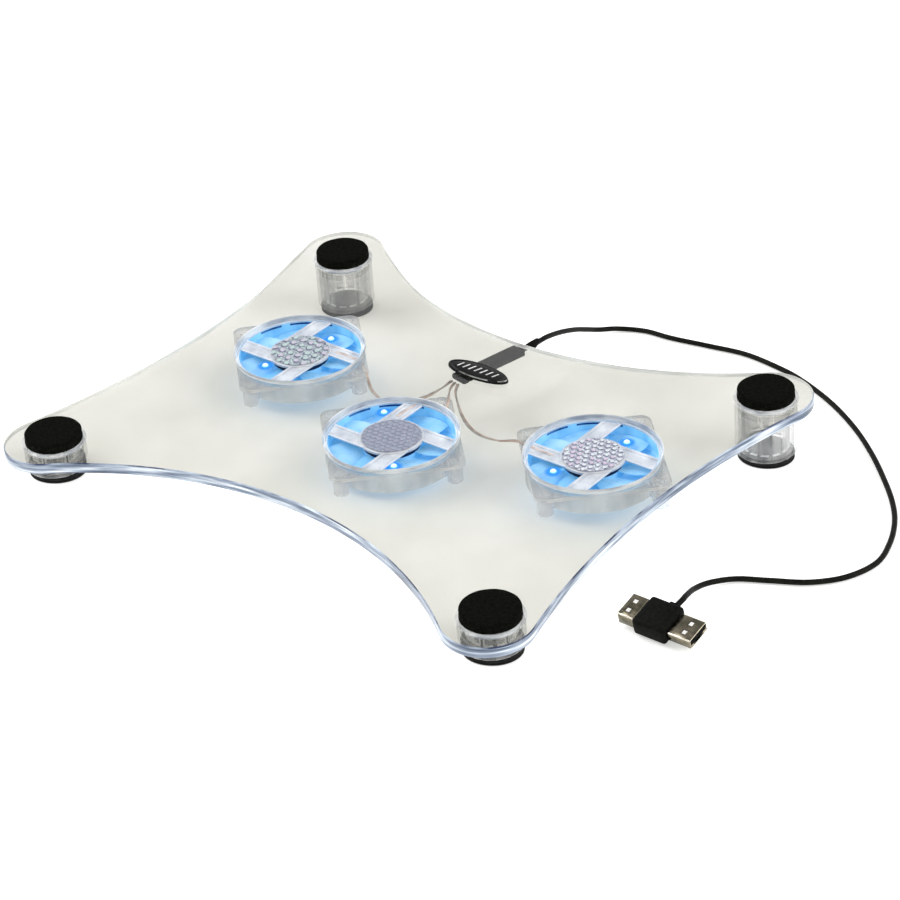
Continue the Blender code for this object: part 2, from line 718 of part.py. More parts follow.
def make_led(orbit):
    """Domed lamp on a short tab that reaches in to the motor disc."""
    profile = []
    dome = LED_RADIUS
    for i in range(4):
        angle = 0.5 * pi * i / 3
        profile.append((dome * sin(angle), LED_TOP - dome + dome * cos(angle)))
    profile += [(LED_RADIUS, LED_BASE), (0.0, LED_BASE)]
    lamp = turned("led", profile, SMALL_STEPS)
    overlap = 0.5 * MM
    tab_length = orbit - DISC_RADIUS - GAP - overlap
    middle = (-overlap - 0.5 * tab_length, 0.0, LED_BASE + 0.6 * LED_TAB_THICKNESS)
    tab = box("tab", (tab_length, LED_TAB_WIDTH, LED_TAB_THICKNESS), middle)
    return smooth(combine("led", lamp, [("UNION", tab)]))


def tube_profile(outer, inner, top, bottom):
    """Closed profile of a plain ring."""
    return [(inner, top), (outer, top), (outer, bottom), (inner, bottom)]


def make_fans(pad):
    """Three fans, each with its motor parts, rotor and two lamps."""
    housing = make_housing()
    rotor = make_rotor()
    board_top = DUCT_TOP - DISC_THICKNESS - GAP
    board_bottom = board_top - BOARD_THICKNESS
    hole = BOSS_RADIUS + GAP
    board = turned("board", tube_profile(BOARD_RADIUS, hole, board_top, board_bottom), closed=True)
    stator = make_stator()
    sleeve_top = DUCT_TOP - DISC_THICKNESS - 2.0 * GAP
    sleeve = turned("sleeve", tube_profile(SLEEVE_RADIUS, SLEEVE_BORE, sleeve_top, BOSS_END),
                    SMALL_STEPS, closed=True)
    shaft_bottom = HUB_BOTTOM + HUB_WALL + GAP
    shaft = cylinder("shaft", SHAFT_RADIUS, sleeve_top - 0.5 * MM, shaft_bottom, SMALL_STEPS)
    label_base = DUCT_TOP + GAP
    label = cylinder("label", LABEL_RADIUS, label_base + LABEL_THICKNESS, label_base)
    for number, (centre, led_spots) in enumerate(zip(FAN_CENTRES, LED_SPOTS), 1):
        tag = str(number)
        hub = add_empty("fan_frame_" + tag, (*centre, 0.0), (0.0, 0.0, 0.0))
        hub.parent = pad
        add_part("fan_housing_" + tag, housing, "clear_plastic", hub)
        add_part("fan_rotor_" + tag, rotor, "blue_plastic", hub)
        add_part("fan_shaft_" + tag, shaft, "steel", hub)
        add_part("fan_bearing_" + tag, sleeve, "brass", hub)
        add_part("fan_stator_" + tag, stator, "motor_iron", hub)
        add_part("fan_board_" + tag, board, "motor_board", hub)
        add_part("fan_label_" + tag, label, "sticker", hub)
        for suffix, (x, y) in zip("ab", led_spots):
            led = make_led(hypot(x, y))
            add_part("fan_led_" + tag + suffix, led, "led_lens", hub, (x, y, 0.0),
                     (0.0, 0.0, atan2(y, x)))


def make_badge(pad):
    """Domed oval badge on top of the plate."""
    profile = [(0.0, BADGE_HEIGHT)]
    rim = 0.8 * MM
    for i in range(1, 5):
        angle = 0.5 * pi * i / 4
        profile.append((sin(angle), rim + (BADGE_HEIGHT - rim) * cos(angle)))
    profile += [(1.0, 0.0), (0.0, 0.0)]
    mesh = turned("badge", profile)
    mesh.transform(Matrix.Diagonal((BADGE_HALF_LENGTH, BADGE_HALF_WIDTH, 1.0, 1.0)))
    add_part("badge", smooth(mesh), "gloss_black", pad, (*BADGE_CENTRE, PLATE_TOP + GAP))


def make_cable_cover(pad):
    """Flat cover under the plate, the wire outlet at its front and the strain relief behind."""
    run_x = COVER_REAR[0] - COVER_FRONT[0]
    run_y = COVER_REAR[1] - COVER_FRONT[1]
    length = hypot(run_x, run_y)
    heading = -acos(run_y / length)
    middle_height = PLATE_BOTTOM - GAP - 0.5 * COVER_THICKNESS
    cover = rounded_box("cable_cover", (COVER_WIDTH, length, COVER_THICKNESS), 0.5 * MM, 2)
    middle = (COVER_FRONT[0] + 0.5 * run_x, COVER_FRONT[1] + 0.5 * run_y, middle_height)
    add_part("cable_cover", cover, "matte_black", pad, middle, (0.0, 0.0, heading))
    outlet = rounded_box("wire_outlet", (OUTLET_WIDTH, OUTLET_LENGTH, COVER_THICKNESS), 0.9 * MM, 2)
    back = (0.5 * OUTLET_LENGTH + GAP) / length
    spot = (COVER_FRONT[0] - back * run_x, COVER_FRONT[1] - back * run_y, middle_height)
    add_part("wire_outlet", outlet, "matte_black", pad, spot, (0.0, 0.0, heading))
    profile = [
        (0.0, RELIEF_LENGTH), (1.5 * MM, RELIEF_LENGTH), (1.7 * MM, RELIEF_LENGTH - 1.6 * MM),
        (2.2 * MM, 10.6 * MM), (2.2 * MM, 6.4 * MM), (1.7 * MM, 4.6 * MM),
        (2.1 * MM, 0.9 * MM), (2.0 * MM, 0.0), (0.0, 0.0),
    ]
    relief = turned("strain_relief", profile, SMALL_STEPS)
    relief = moved(relief, Matrix.Rotation(-0.5 * pi, 4, "X"))
    seat = (COVER_REAR[0], COVER_REAR[1] + 2.2 * GAP, middle_height)
    add_part("strain_relief", relief, "matte_black", pad, seat, (0.0, 0.0, radians(5.0)))


def make_leads(pad):
    """Wire leads from the outlet to the three fans."""
    for number, route in enumerate(LEAD_ROUTES_MM, 1):
        points = [(x * MM, y * MM, LEAD_DROP) for x, y in route]
        path = smooth_path(points, 3.2 * MM)
        tube_curve("fan_lead_" + str(number), path, LEAD_RADIUS, "lead_insulation", pad)


def make_cord():
    """The USB cord, lying on the table from the strain relief to the plug."""
    route = [(x * MM + CENTRING[0], y * MM + CENTRING[1], z * MM) for x, y, z in CORD_ROUTE_MM]
    path = smooth_path(route, CORD_SPACING)
    tube_curve("usb_cord", path, CORD_RADIUS, "cord_black")


def make_shell(name, width, height, length, windows):
    """Open-ended metal shell with a closed back, running along +X."""
    outer = box(name, (length, width, height), (0.5 * length, 0.0, 0.0))
    hollow_size = (length, width - 2.0 * SHELL_WALL, height - 2.0 * SHELL_WALL)
    hollow = box("hollow", hollow_size, (0.5 * length + SHELL_WALL, 0.0, 0.0))
    steps = [("DIFFERENCE", hollow)]
    if windows:
        window_size = (2.0 * MM, 2.4 * MM, 2.0 * MM)
        cuts = [box("window", window_size, (0.58 * length, side * 0.22 * width, 0.5 * height))
                for side in (-1, 1)]
        steps.append(("DIFFERENCE", merged("windows", cuts)))
    return combine(name, outer, steps)


def make_plug():
    """Pass-through USB plug: body, plug shell one way and socket shell the other."""
    x, y, z = PLUG_CENTRE
    plug = add_empty("plug_frame", (x + CENTRING[0], y + CENTRING[1], z), (PLUG_TILT, 0.0, 0.0))
    body = rounded_box("usb_body", (PLUG_LENGTH, PLUG_WIDTH, PLUG_HEIGHT), PLUG_ROUNDING, 3)
    entry_y = 0.5 * PLUG_WIDTH + 0.5 * ENTRY_LENGTH - 0.6 * MM
    entry_size = (ENTRY_WIDTH, ENTRY_LENGTH + 1.2 * MM, ENTRY_HEIGHT)
    entry = box("entry", entry_size, (ENTRY_X, entry_y, 0.0))
    body = smooth(combine("usb_body", body, [("UNION", entry)]))
    add_part("usb_body", body, "matte_black", plug)
    root = 0.5 * PLUG_LENGTH + GAP
    male = make_shell("usb_plug_shell", MALE_WIDTH, MALE_HEIGHT, MALE_LENGTH, True)
    add_part("usb_plug_shell", male, "nickel", plug, (root, 0.0, 0.0))
    female = make_shell("usb_socket_shell", FEMALE_WIDTH, FEMALE_HEIGHT, FEMALE_LENGTH, True)
    add_part("usb_socket_shell", female, "nickel", plug, (-root, 0.0, 0.0), (0.0, 0.0, pi))
    inset = SHELL_WALL + GAP
    tongue_length = MALE_LENGTH - inset - 0.6 * MM
    tongue_z = -0.5 * MALE_HEIGHT + SHELL_WALL + GAP + 0.5 * TONGUE_THICKNESS
    tongue = box("usb_plug_tongue", (tongue_length, TONGUE_WIDTH, TONGUE_THICKNESS),
                 (0.5 * tongue_length, 0.0, 0.0))
    add_part("usb_plug_tongue", tongue, "matte_black", plug, (root + inset, 0.0, tongue_z))
    socket_length = FEMALE_LENGTH - inset - 0.8 * MM
    tongue = box("usb_socket_tongue", (socket_length, TONGUE_WIDTH, TONGUE_THICKNESS),
                 (0.5 * socket_length, 0.0, 0.0))
    add_part("usb_socket_tongue", tongue, "matte_black", plug, (-root - inset, 0.0, 0.6 * MM),
             (0.0, 0.0, pi))


def build():
    """Build the whole cooling pad."""
    pad_place = (CENTRING[0], CENTRING[1] + PAD_SHIFT_Y, PLATE_HEIGHT)
    pad = add_empty("pad_frame", pad_place, (PLATE_TILT, 0.0, 0.0))
    make_base_plate(pad)
    for end_label, end in (("front", -1), ("rear", 1)):
        for side_label, side in (("left", -1), ("right", 1)):
            make_foot(pad, end_label + "_" + side_label, side * FOOT_X, end * FOOT_Y)
    make_fans(pad)
    make_badge(pad)
    make_cable_cover(pad)
    make_leads(pad)
    make_cord()
    make_plug()


build()
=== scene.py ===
"""Looks of the clear acrylic laptop cooling pad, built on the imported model's frame."""
import json
from math import atan2, cos, hypot, pi, radians, sin

import bmesh
import bpy
from mathutils import Matrix, Vector, noise
from mathutils.geometry import tessellate_polygon


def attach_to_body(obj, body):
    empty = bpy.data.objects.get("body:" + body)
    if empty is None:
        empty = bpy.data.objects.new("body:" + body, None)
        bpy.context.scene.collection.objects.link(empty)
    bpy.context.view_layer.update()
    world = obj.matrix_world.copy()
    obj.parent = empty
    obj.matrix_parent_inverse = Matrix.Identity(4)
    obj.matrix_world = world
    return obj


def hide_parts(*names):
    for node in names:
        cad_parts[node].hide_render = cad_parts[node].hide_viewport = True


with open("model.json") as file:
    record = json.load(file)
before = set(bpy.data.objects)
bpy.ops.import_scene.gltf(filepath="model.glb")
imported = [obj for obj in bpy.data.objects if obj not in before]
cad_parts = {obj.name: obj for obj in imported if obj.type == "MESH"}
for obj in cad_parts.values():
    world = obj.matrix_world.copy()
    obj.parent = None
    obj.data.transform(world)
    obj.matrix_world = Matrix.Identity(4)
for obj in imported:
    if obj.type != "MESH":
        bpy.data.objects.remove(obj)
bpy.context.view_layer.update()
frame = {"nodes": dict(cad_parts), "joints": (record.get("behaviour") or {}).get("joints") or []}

MM = 0.001
PAD_BODY = "pad"
FANS = (1, 2, 3)

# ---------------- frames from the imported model
JOINTS = {joint["name"]: joint for joint in frame["joints"]}
PAD_AXIS = Vector(JOINTS["fan_2_spin"]["axis"])
TILT = atan2(-PAD_AXIS.y, PAD_AXIS.z)
LEAN = Matrix.Rotation(TILT, 4, "X")
FAN_CENTRES = [LEAN.inverted() @ Vector(JOINTS[f"fan_{i}_spin"]["pos_m"]) for i in FANS]
PLATE_LEVEL = FAN_CENTRES[1].z
FAN_Y = (22.7 * MM, -12.7 * MM, 22.7 * MM)
PAD_ORIGIN_Y = FAN_CENTRES[1].y - FAN_Y[1]
PAD = LEAN @ Matrix.Translation((FAN_CENTRES[1].x, PAD_ORIGIN_Y, PLATE_LEVEL))
CENTRING = Vector((3.3 * MM, -2.9 * MM, 0.0))
FAN_SPOTS = [PAD.inverted() @ (LEAN @ centre) for centre in FAN_CENTRES]

# ---------------- dimensions, as in the CAD
PLATE_TOP = 1.3 * MM
PLATE_BOTTOM = -3.7 * MM
WAIST_X = 131.0 * MM
WAIST_Y = 79.9 * MM
TIP_RADIUS = 20.0 * MM
TIP_X = 124.0 * MM
TIP_Y = 102.2 * MM
OUTLINE_SHIFT = (-1.6 * MM, 0.9 * MM)
REAR_LEFT_REACH = (-3.4 * MM, 4.2 * MM)
REACH_FULL = 20.0 * MM
REACH_END = 60.0 * MM
FOOT_X = 123.0 * MM
FOOT_Y = 100.0 * MM
FOOT_SPOTS = {"front_left": (-FOOT_X, -FOOT_Y), "front_right": (FOOT_X, -FOOT_Y),
              "rear_left": (-FOOT_X, FOOT_Y), "rear_right": (FOOT_X, FOOT_Y)}
GAP = 0.3 * MM
FOOT_HOLE = 11.3 * MM
FOAM_RADIUS = 12.95 * MM
FOAM_BASE = 2.8 * MM
FOAM_SKIRT = 2.2 * MM
FOAM_TOP = 6.9 * MM
CUP_RADIUS = 14.0 * MM
CUP_WALL = 1.5 * MM
RUBBER_RADIUS = 12.8 * MM
RUBBER_THICKNESS = 3.1 * MM
DUCT_RADIUS = 30.0 * MM
DUCT_BORE = 28.5 * MM
DUCT_TOP = -0.8 * MM
FLANGE_TOP = -4.3 * MM
FAN_BOTTOM = -14.3 * MM
DISC_RADIUS = 14.5 * MM
LABEL_RADIUS = 13.4 * MM
HUB_RADIUS = 13.0 * MM
HUB_TOP = -2.4 * MM
HUB_BOTTOM = -11.6 * MM
LAMP_RADIUS = 1.5 * MM
HALO_RADIUS = 5.3 * MM
BADGE_SPOT = (1.5 * MM, 48.2 * MM)
CORD_DIAMETER = 2.5 * MM

CORD_ROUTE_MM = (
    (-1.4, 96.8, 21.7), (-2.2, 105.0, 20.9), (-4.1, 118.0, 17.6), (-6.3, 133.0, 12.4),
    (-7.4, 144.5, 7.6), (-7.2, 154.5, 3.6), (-2.6, 164.0, 1.7), (9.0, 170.2, 1.35),
    (23.5, 171.4, 1.35), (43.4, 175.2, 1.35), (61.5, 178.2, 1.35), (80.0, 176.0, 1.35),
    (96.5, 171.6, 1.35), (119.7, 160.6, 1.35), (141.5, 146.0, 1.35), (160.7, 129.5, 1.35),
    (177.6, 112.2, 1.35), (190.8, 97.0, 1.35), (200.6, 82.5, 1.35), (208.2, 65.5, 1.35),
    (212.0, 48.5, 1.35), (208.0, 31.5, 1.35), (198.0, 18.6, 1.35), (184.2, 9.9, 1.35),
    (172.5, 2.5, 1.5), (166.3, -8.0, 2.6), (166.4, -19.8, 5.4), (169.9, -30.8, 9.0),
    (171.5, -36.0, 10.0), (171.6, -40.23, 9.40),
)


# ---------------- camera, floor and light
CAMERA_LENS = 113.16
CAMERA_SENSOR = 36.0
CAMERA_SPOT = (0.7117, -0.8516, 0.6143)
# Azimuth, elevation and roll in degrees
CAMERA_ANGLES = (38.97, 28.704, -1.072)
FLOOR_REACH = 8.0
FLOOR_DROP = -0.2 * MM
SOFTBOX_SIZE = 1.4
SOFTBOX_POWER = 26.0


def make_camera():
    """Long lens looking down at the pad from its front right."""
    data = bpy.data.cameras.new("camera")
    data.lens = CAMERA_LENS
    data.sensor_width = CAMERA_SENSOR
    data.clip_start = 0.05
    camera = bpy.data.objects.new("camera", data)
    bpy.context.scene.collection.objects.link(camera)
    azimuth, elevation, roll = (radians(angle) for angle in CAMERA_ANGLES)
    forward = Vector((-sin(azimuth) * cos(elevation), cos(azimuth) * cos(elevation),
                      -sin(elevation)))
    right = Vector((cos(azimuth), sin(azimuth), 0.0))
    up = right.cross(forward)
    side = right * cos(roll) + up * sin(roll)
    top = up * cos(roll) - right * sin(roll)
    turn = Matrix((side, top, -forward)).transposed().to_4x4()
    camera.matrix_world = Matrix.Translation(Vector(CAMERA_SPOT) + CENTRING) @ turn
    bpy.context.scene.camera = camera


def make_stage():
    """A plain pale floor."""
    work = bmesh.new()
    bmesh.ops.create_grid(work, x_segments=4, y_segments=4, size=FLOOR_REACH)
    mesh = finished(work, "floor")
    floor = bpy.data.objects.new("floor", mesh)
    floor.location.z = FLOOR_DROP
    bpy.context.scene.collection.objects.link(floor)
    mesh.materials.append(make_finish(
        "floor_paper", roughness=0.8, tones=((0.85, 0.85, 0.838), (0.87, 0.87, 0.862), 3.0),
        glow=((1.0, 1.0, 0.96), 0.45)))


def make_light():
    """Soft light from above and from the sides, with a bright horizon."""
    world = bpy.data.worlds.new("studio")
    world.use_nodes = True
    bpy.context.scene.world = world
    background = world.node_tree.nodes["Background"]
    coordinate = add_node(world, "TexCoord").outputs["Generated"]
    height = add_node(world, "SeparateXYZ", coordinate).outputs["Z"]
    sky = add_ramp(world, height, ((0.0, (0.90, 0.91, 0.93)), (0.35, (0.80, 0.81, 0.83)),
                                   (1.0, (0.42, 0.43, 0.45))))
    world.node_tree.links.new(sky, background.inputs["Color"])
    for name, spot in (("softbox_left", (-1.3, -0.5, 1.5)), ("softbox_right", (1.6, 0.6, 1.5))):
        data = bpy.data.lights.new(name, "AREA")
        data.shape = "SQUARE"
        data.size = SOFTBOX_SIZE
        data.energy = SOFTBOX_POWER
        lamp = bpy.data.objects.new(name, data)
        lamp.location = spot
        lamp.rotation_euler = (-Vector(spot)).to_track_quat("-Z", "Y").to_euler()
        bpy.context.scene.collection.objects.link(lamp)
    bpy.context.scene.view_settings.view_transform = "Standard"


# ---------------- material helpers
EVEN = (1.0, 1.0, 1.0)


def principled(name, colour, metallic=0.0, roughness=0.5, transmission=0.0, ior=1.5):
    """A node material with constant values on the shader's own sockets."""
    material = bpy.data.materials.new(name)
    material.use_nodes = True
    shader = material.node_tree.nodes["Principled BSDF"]
    shader.inputs["Base Color"].default_value = (*colour, 1.0)
    shader.inputs["Metallic"].default_value = metallic
    shader.inputs["Roughness"].default_value = roughness
    shader.inputs["Transmission Weight"].default_value = transmission
    shader.inputs["IOR"].default_value = ior
    return material


def shader_of(material):
    """The Principled shader of a material."""
    return material.node_tree.nodes["Principled BSDF"]


def add_node(material, kind, source=None, **values):
    """A new node, with its first input fed by a source and others set by name."""
    tree = material.node_tree
    added = tree.nodes.new("ShaderNode" + kind)
    for name, value in values.items():
        added.inputs[name.replace("_", " ")].default_value = value
    if source:
        tree.links.new(source, added.inputs[0])
    return added


def add_ramp(material, source, stops):
    """A colour ramp through (position, colour) stops, from the lowest to the highest."""
    ramp = add_node(material, "ValToRGB", source)
    elements = ramp.color_ramp.elements
    for element, (position, colour) in zip(elements, (stops[0], stops[-1])):
        element.position = position
        element.color = (*colour, 1.0)
    for position, colour in stops[1:-1]:
        elements.new(position).color = (*colour, 1.0)
    return ramp.outputs["Color"]


def feed(material, source, name):
    """Link an output to an input of the material's shader."""
    material.node_tree.links.new(source, shader_of(material).inputs[name])


def add_noise(material, scale, detail=3.0, stretch=EVEN):
    """Noise in the object's own space, scale in features per metre."""
    coordinate = add_node(material, "TexCoord").outputs["Object"]
    mapping = add_node(material, "Mapping", coordinate, Scale=stretch)
    texture = add_node(material, "TexNoise", mapping.outputs[0], Scale=scale, Detail=detail)
    return texture.outputs["Fac"]


def mottle(material, dark, light, scale, detail=3.0, stretch=EVEN, low=0.35, high=0.65, stops=()):
    """Vary the base colour between two tones, by way of any stops between them."""
    texture = add_noise(material, scale, detail, stretch)
    feed(material, add_ramp(material, texture, ((low, dark), *stops, (high, light))), "Base Color")


def scuff(material, smoothest, roughest, scale, detail=4.0, stretch=EVEN):
    """Vary the roughness."""
    spread = add_node(material, "MapRange", add_noise(material, scale, detail, stretch),
                      From_Min=0.3, From_Max=0.7, To_Min=smoothest, To_Max=roughest)
    feed(material, spread.outputs["Result"], "Roughness")


def grain(material, scale, depth, strength=1.0, detail=4.0, stretch=EVEN):
    """Add a fine bump."""
    texture = add_noise(material, scale, detail, stretch)
    bump = add_node(material, "Bump", Strength=strength, Distance=depth)
    material.node_tree.links.new(texture, bump.inputs["Height"])
    feed(material, bump.outputs["Normal"], "Normal")


def clear_shadow(material, tint):
    """Let soft light pass a clear body on its way to and from the floor."""
    path = add_node(material, "LightPath")
    either = add_node(material, "Math", path.outputs["Is Shadow Ray"])
    either.operation = "MAXIMUM"
    glass = add_node(material, "BsdfTransparent", Color=(*tint, 1.0))
    mix = add_node(material, "MixShader", either.outputs[0])
    nodes, links = material.node_tree.nodes, material.node_tree.links
    links.new(path.outputs["Is Diffuse Ray"], either.inputs[1])
    links.new(shader_of(material).outputs[0], mix.inputs[1])
    links.new(glass.outputs[0], mix.inputs[2])
    links.new(mix.outputs[0], nodes["Material Output"].inputs["Surface"])


def milky(material, face_on, edge_on, blend=0.5):
    """Clear plastic that looks denser where it is seen edge-on."""
    weight = add_node(material, "LayerWeight", Blend=blend)
    spread = add_node(material, "MapRange", weight.outputs["Facing"],
                      To_Min=face_on, To_Max=edge_on)
    feed(material, spread.outputs["Result"], "Alpha")


def radial_light(material, radius, strength, stops, fade=None):
    """Light that changes with the distance from the lamp's axis, and may fade to clear."""
    coordinate = add_node(material, "TexCoord").outputs["Object"]
    flatten = add_node(material, "Mapping", coordinate, Scale=(1.0 / radius, 1.0 / radius, 0.0))
    length = add_node(material, "VectorMath", flatten.outputs[0])
    length.operation = "LENGTH"
    distance = length.outputs["Value"]
    feed(material, add_ramp(material, distance, stops), "Emission Color")
    shader_of(material).inputs["Emission Strength"].default_value = strength
    if fade:
        cover = add_node(material, "MapRange", distance, From_Min=fade[0], From_Max=fade[1],
                         To_Min=1.0, To_Max=0.0)
        cover.interpolation_type = "SMOOTHERSTEP"
        feed(material, cover.outputs["Result"], "Alpha")


# ---------------- finishes
def make_finish(name, colour=None, roughness=0.5, metallic=0.0, glass=None, tones=None, stops=(),
                wear=None, bump=None, film=None, shadow=None, sheen=None, coat=None, glow=None):
    """One material from the values of each of its details; the helpers above explain them."""
    material = principled(name, colour or tones[1], metallic, roughness, 1.0 if glass else 0.0,
                          glass or 1.5)
    inputs = shader_of(material).inputs
    if tones:
        mottle(material, *tones, stops=stops)
    if wear:
        scuff(material, *wear)
    if bump:
        grain(material, *bump)
    if film:
        milky(material, *film)
    if shadow:
        clear_shadow(material, shadow)
    if sheen is not None:
        inputs["Specular IOR Level"].default_value = sheen
    if coat:
        inputs["Coat Weight"].default_value, inputs["Coat Roughness"].default_value = coat
    if glow:
        inputs["Emission Color"].default_value = (*glow[0], 1.0)
        inputs["Emission Strength"].default_value = glow[1]
    return material


CLEAR = {
    "acrylic": dict(
        roughness=0.02, glass=1.46, tones=((0.525, 0.518, 0.475), (0.605, 0.598, 0.56), 16.0),
        wear=(0.01, 0.04, 60.0), bump=(14.0, 0.02 * MM, 0.2, 1.0), shadow=(0.99, 0.99, 0.985)),
    # Plate edges: streaked slate-to-light painted reflection where they face the front right, a
    # painted reflection line on their rounded rims, pale painted reflection where they face away
    "acrylic_edge_painted_reflection": dict(
        roughness=0.10, shadow=(0.97, 0.98, 1.0),
        tones=((0.05, 0.07, 0.11), (0.84, 0.89, 0.93), 34.0, 5.0, (1.0, 1.0, 16.0), 0.30, 0.68),
        stops=((0.42, (0.13, 0.17, 0.24)), (0.50, (0.27, 0.32, 0.41)), (0.57, (0.48, 0.54, 0.62))),
        wear=(0.05, 0.2, 90.0), bump=(160.0, 0.10 * MM, 0.35)),
    "acrylic_rim_painted_reflection": dict(
        roughness=0.12, wear=(0.05, 0.2, 90.0), shadow=(0.97, 0.98, 1.0),
        tones=((0.03, 0.045, 0.10), (0.66, 0.76, 0.90), 46.0, 4.0, (1.0, 1.0, 2.0), 0.40, 0.66)),
    "acrylic_pale_painted_reflection": dict(
        roughness=0.15, wear=(0.08, 0.25, 90.0), film=(0.80, 0.95), shadow=(0.98, 0.98, 0.98),
        tones=((0.66, 0.66, 0.62), (0.96, 0.96, 0.90), 38.0, 3.0, (1.0, 1.0, 9.0))),
    "acrylic_bore": dict(
        roughness=0.15, film=(0.86, 0.97), shadow=(0.98, 0.98, 0.98),
        tones=((0.36, 0.39, 0.44), (0.76, 0.78, 0.79), 60.0, 4.0, (1.0, 1.0, 3.0), 0.38, 0.60)),
    # Clear cap plastic: the dark vertical streaks are painted reflection and refraction
    "clear_plastic": dict(
        roughness=0.10, wear=(0.03, 0.12, 110.0), film=(0.06, 0.66, 0.36),
        shadow=(0.97, 0.97, 0.97),
        tones=((0.40, 0.43, 0.46), (0.96, 0.96, 0.95), 140.0, 4.0, (1.0, 1.0, 0.10), 0.36, 0.56)),
    # Painted highlight on the tips of the cap's fingers
    "clear_tip_painted_highlight": dict(
        roughness=0.08, tones=((0.80, 0.83, 0.86), EVEN, 300.0), film=(0.75, 0.95),
        shadow=(0.97, 0.97, 0.97)),
    # Clear leg plastic: the dark vertical streaks are painted reflection and refraction
    "leg_plastic_painted_streaks": dict(
        roughness=0.08, wear=(0.03, 0.12, 110.0), film=(0.02, 0.60, 0.30),
        shadow=(0.97, 0.97, 0.97),
        tones=((0.16, 0.18, 0.19), (0.90, 0.90, 0.88), 150.0, 3.0, (1.0, 1.0, 0.05), 0.36, 0.56)),
    "housing_plastic": dict(
        roughness=0.16, tones=((0.58, 0.60, 0.67), (0.90, 0.91, 0.93), 75.0, 4.0),
        wear=(0.08, 0.26, 90.0), bump=(240.0, 0.05 * MM, 0.3), film=(0.12, 0.66),
        shadow=(0.95, 0.96, 0.98), coat=(0.7, 0.05)),
    "arm_plastic": dict(
        roughness=0.2, tones=((0.50, 0.53, 0.59), (0.82, 0.84, 0.86), 120.0, 4.0),
        wear=(0.1, 0.3, 120.0), film=(0.66, 0.92)),
    "plastic_glint": dict(
        roughness=0.15, tones=((0.80, 0.82, 0.86), EVEN, 160.0), film=(0.60, 0.85)),
    "duct_wall": dict(
        roughness=0.2, wear=(0.1, 0.3, 120.0), film=(0.62, 0.9), shadow=(0.96, 0.96, 0.97),
        tones=((0.60, 0.61, 0.63), (0.92, 0.92, 0.91), 110.0, 4.0, (1.0, 1.0, 0.4))),
}
FAN = {
    # Blades: the emission is painted glow of the lamps' blue light
    "blade_plastic_painted_glow": dict(
        roughness=0.3, tones=((0.20, 0.48, 0.80), (0.42, 0.66, 0.88), 60.0),
        wear=(0.18, 0.4, 120.0), film=(0.86, 0.96), glow=((0.06, 0.32, 0.50), 0.30)),
    # Painted blue reflection of the blades with painted glow, on the duct's sheet and the lamps'
    # tabs
    "duct_glow": dict(
        roughness=0.25, film=(0.72, 0.9), glow=((0.10, 0.42, 0.62), 0.35),
        tones=((0.14, 0.42, 0.74), (0.34, 0.66, 0.92), 90.0, 3.0, (1.0, 1.0, 0.3))),
    # Painted dark reflection in arcs near the duct's top
    "duct_painted_dark_arc": dict(roughness=0.2, tones=((0.006, 0.03, 0.17), (0.05, 0.15, 0.42), 160.0)),
    "hub_plastic": dict(
        roughness=0.3, tones=((0.0006, 0.005, 0.03), (0.003, 0.016, 0.08), 140.0), sheen=0.2),
    "motor_board": dict(tones=((0.012, 0.03, 0.10), (0.05, 0.10, 0.25), 500.0)),
    "motor_iron": dict(
        colour=(0.25, 0.25, 0.27), metallic=1.0, roughness=0.45,
        bump=(1500.0, 0.05 * MM, 1.0, 4.0, (0.1, 0.1, 4.0))),
    "brass": dict(colour=(0.62, 0.45, 0.20), metallic=1.0, roughness=0.3, wear=(0.25, 0.45, 900.0)),
    "steel": dict(colour=(0.62, 0.60, 0.56), metallic=1.0, roughness=0.2, wear=(0.15, 0.35, 900.0)),
}
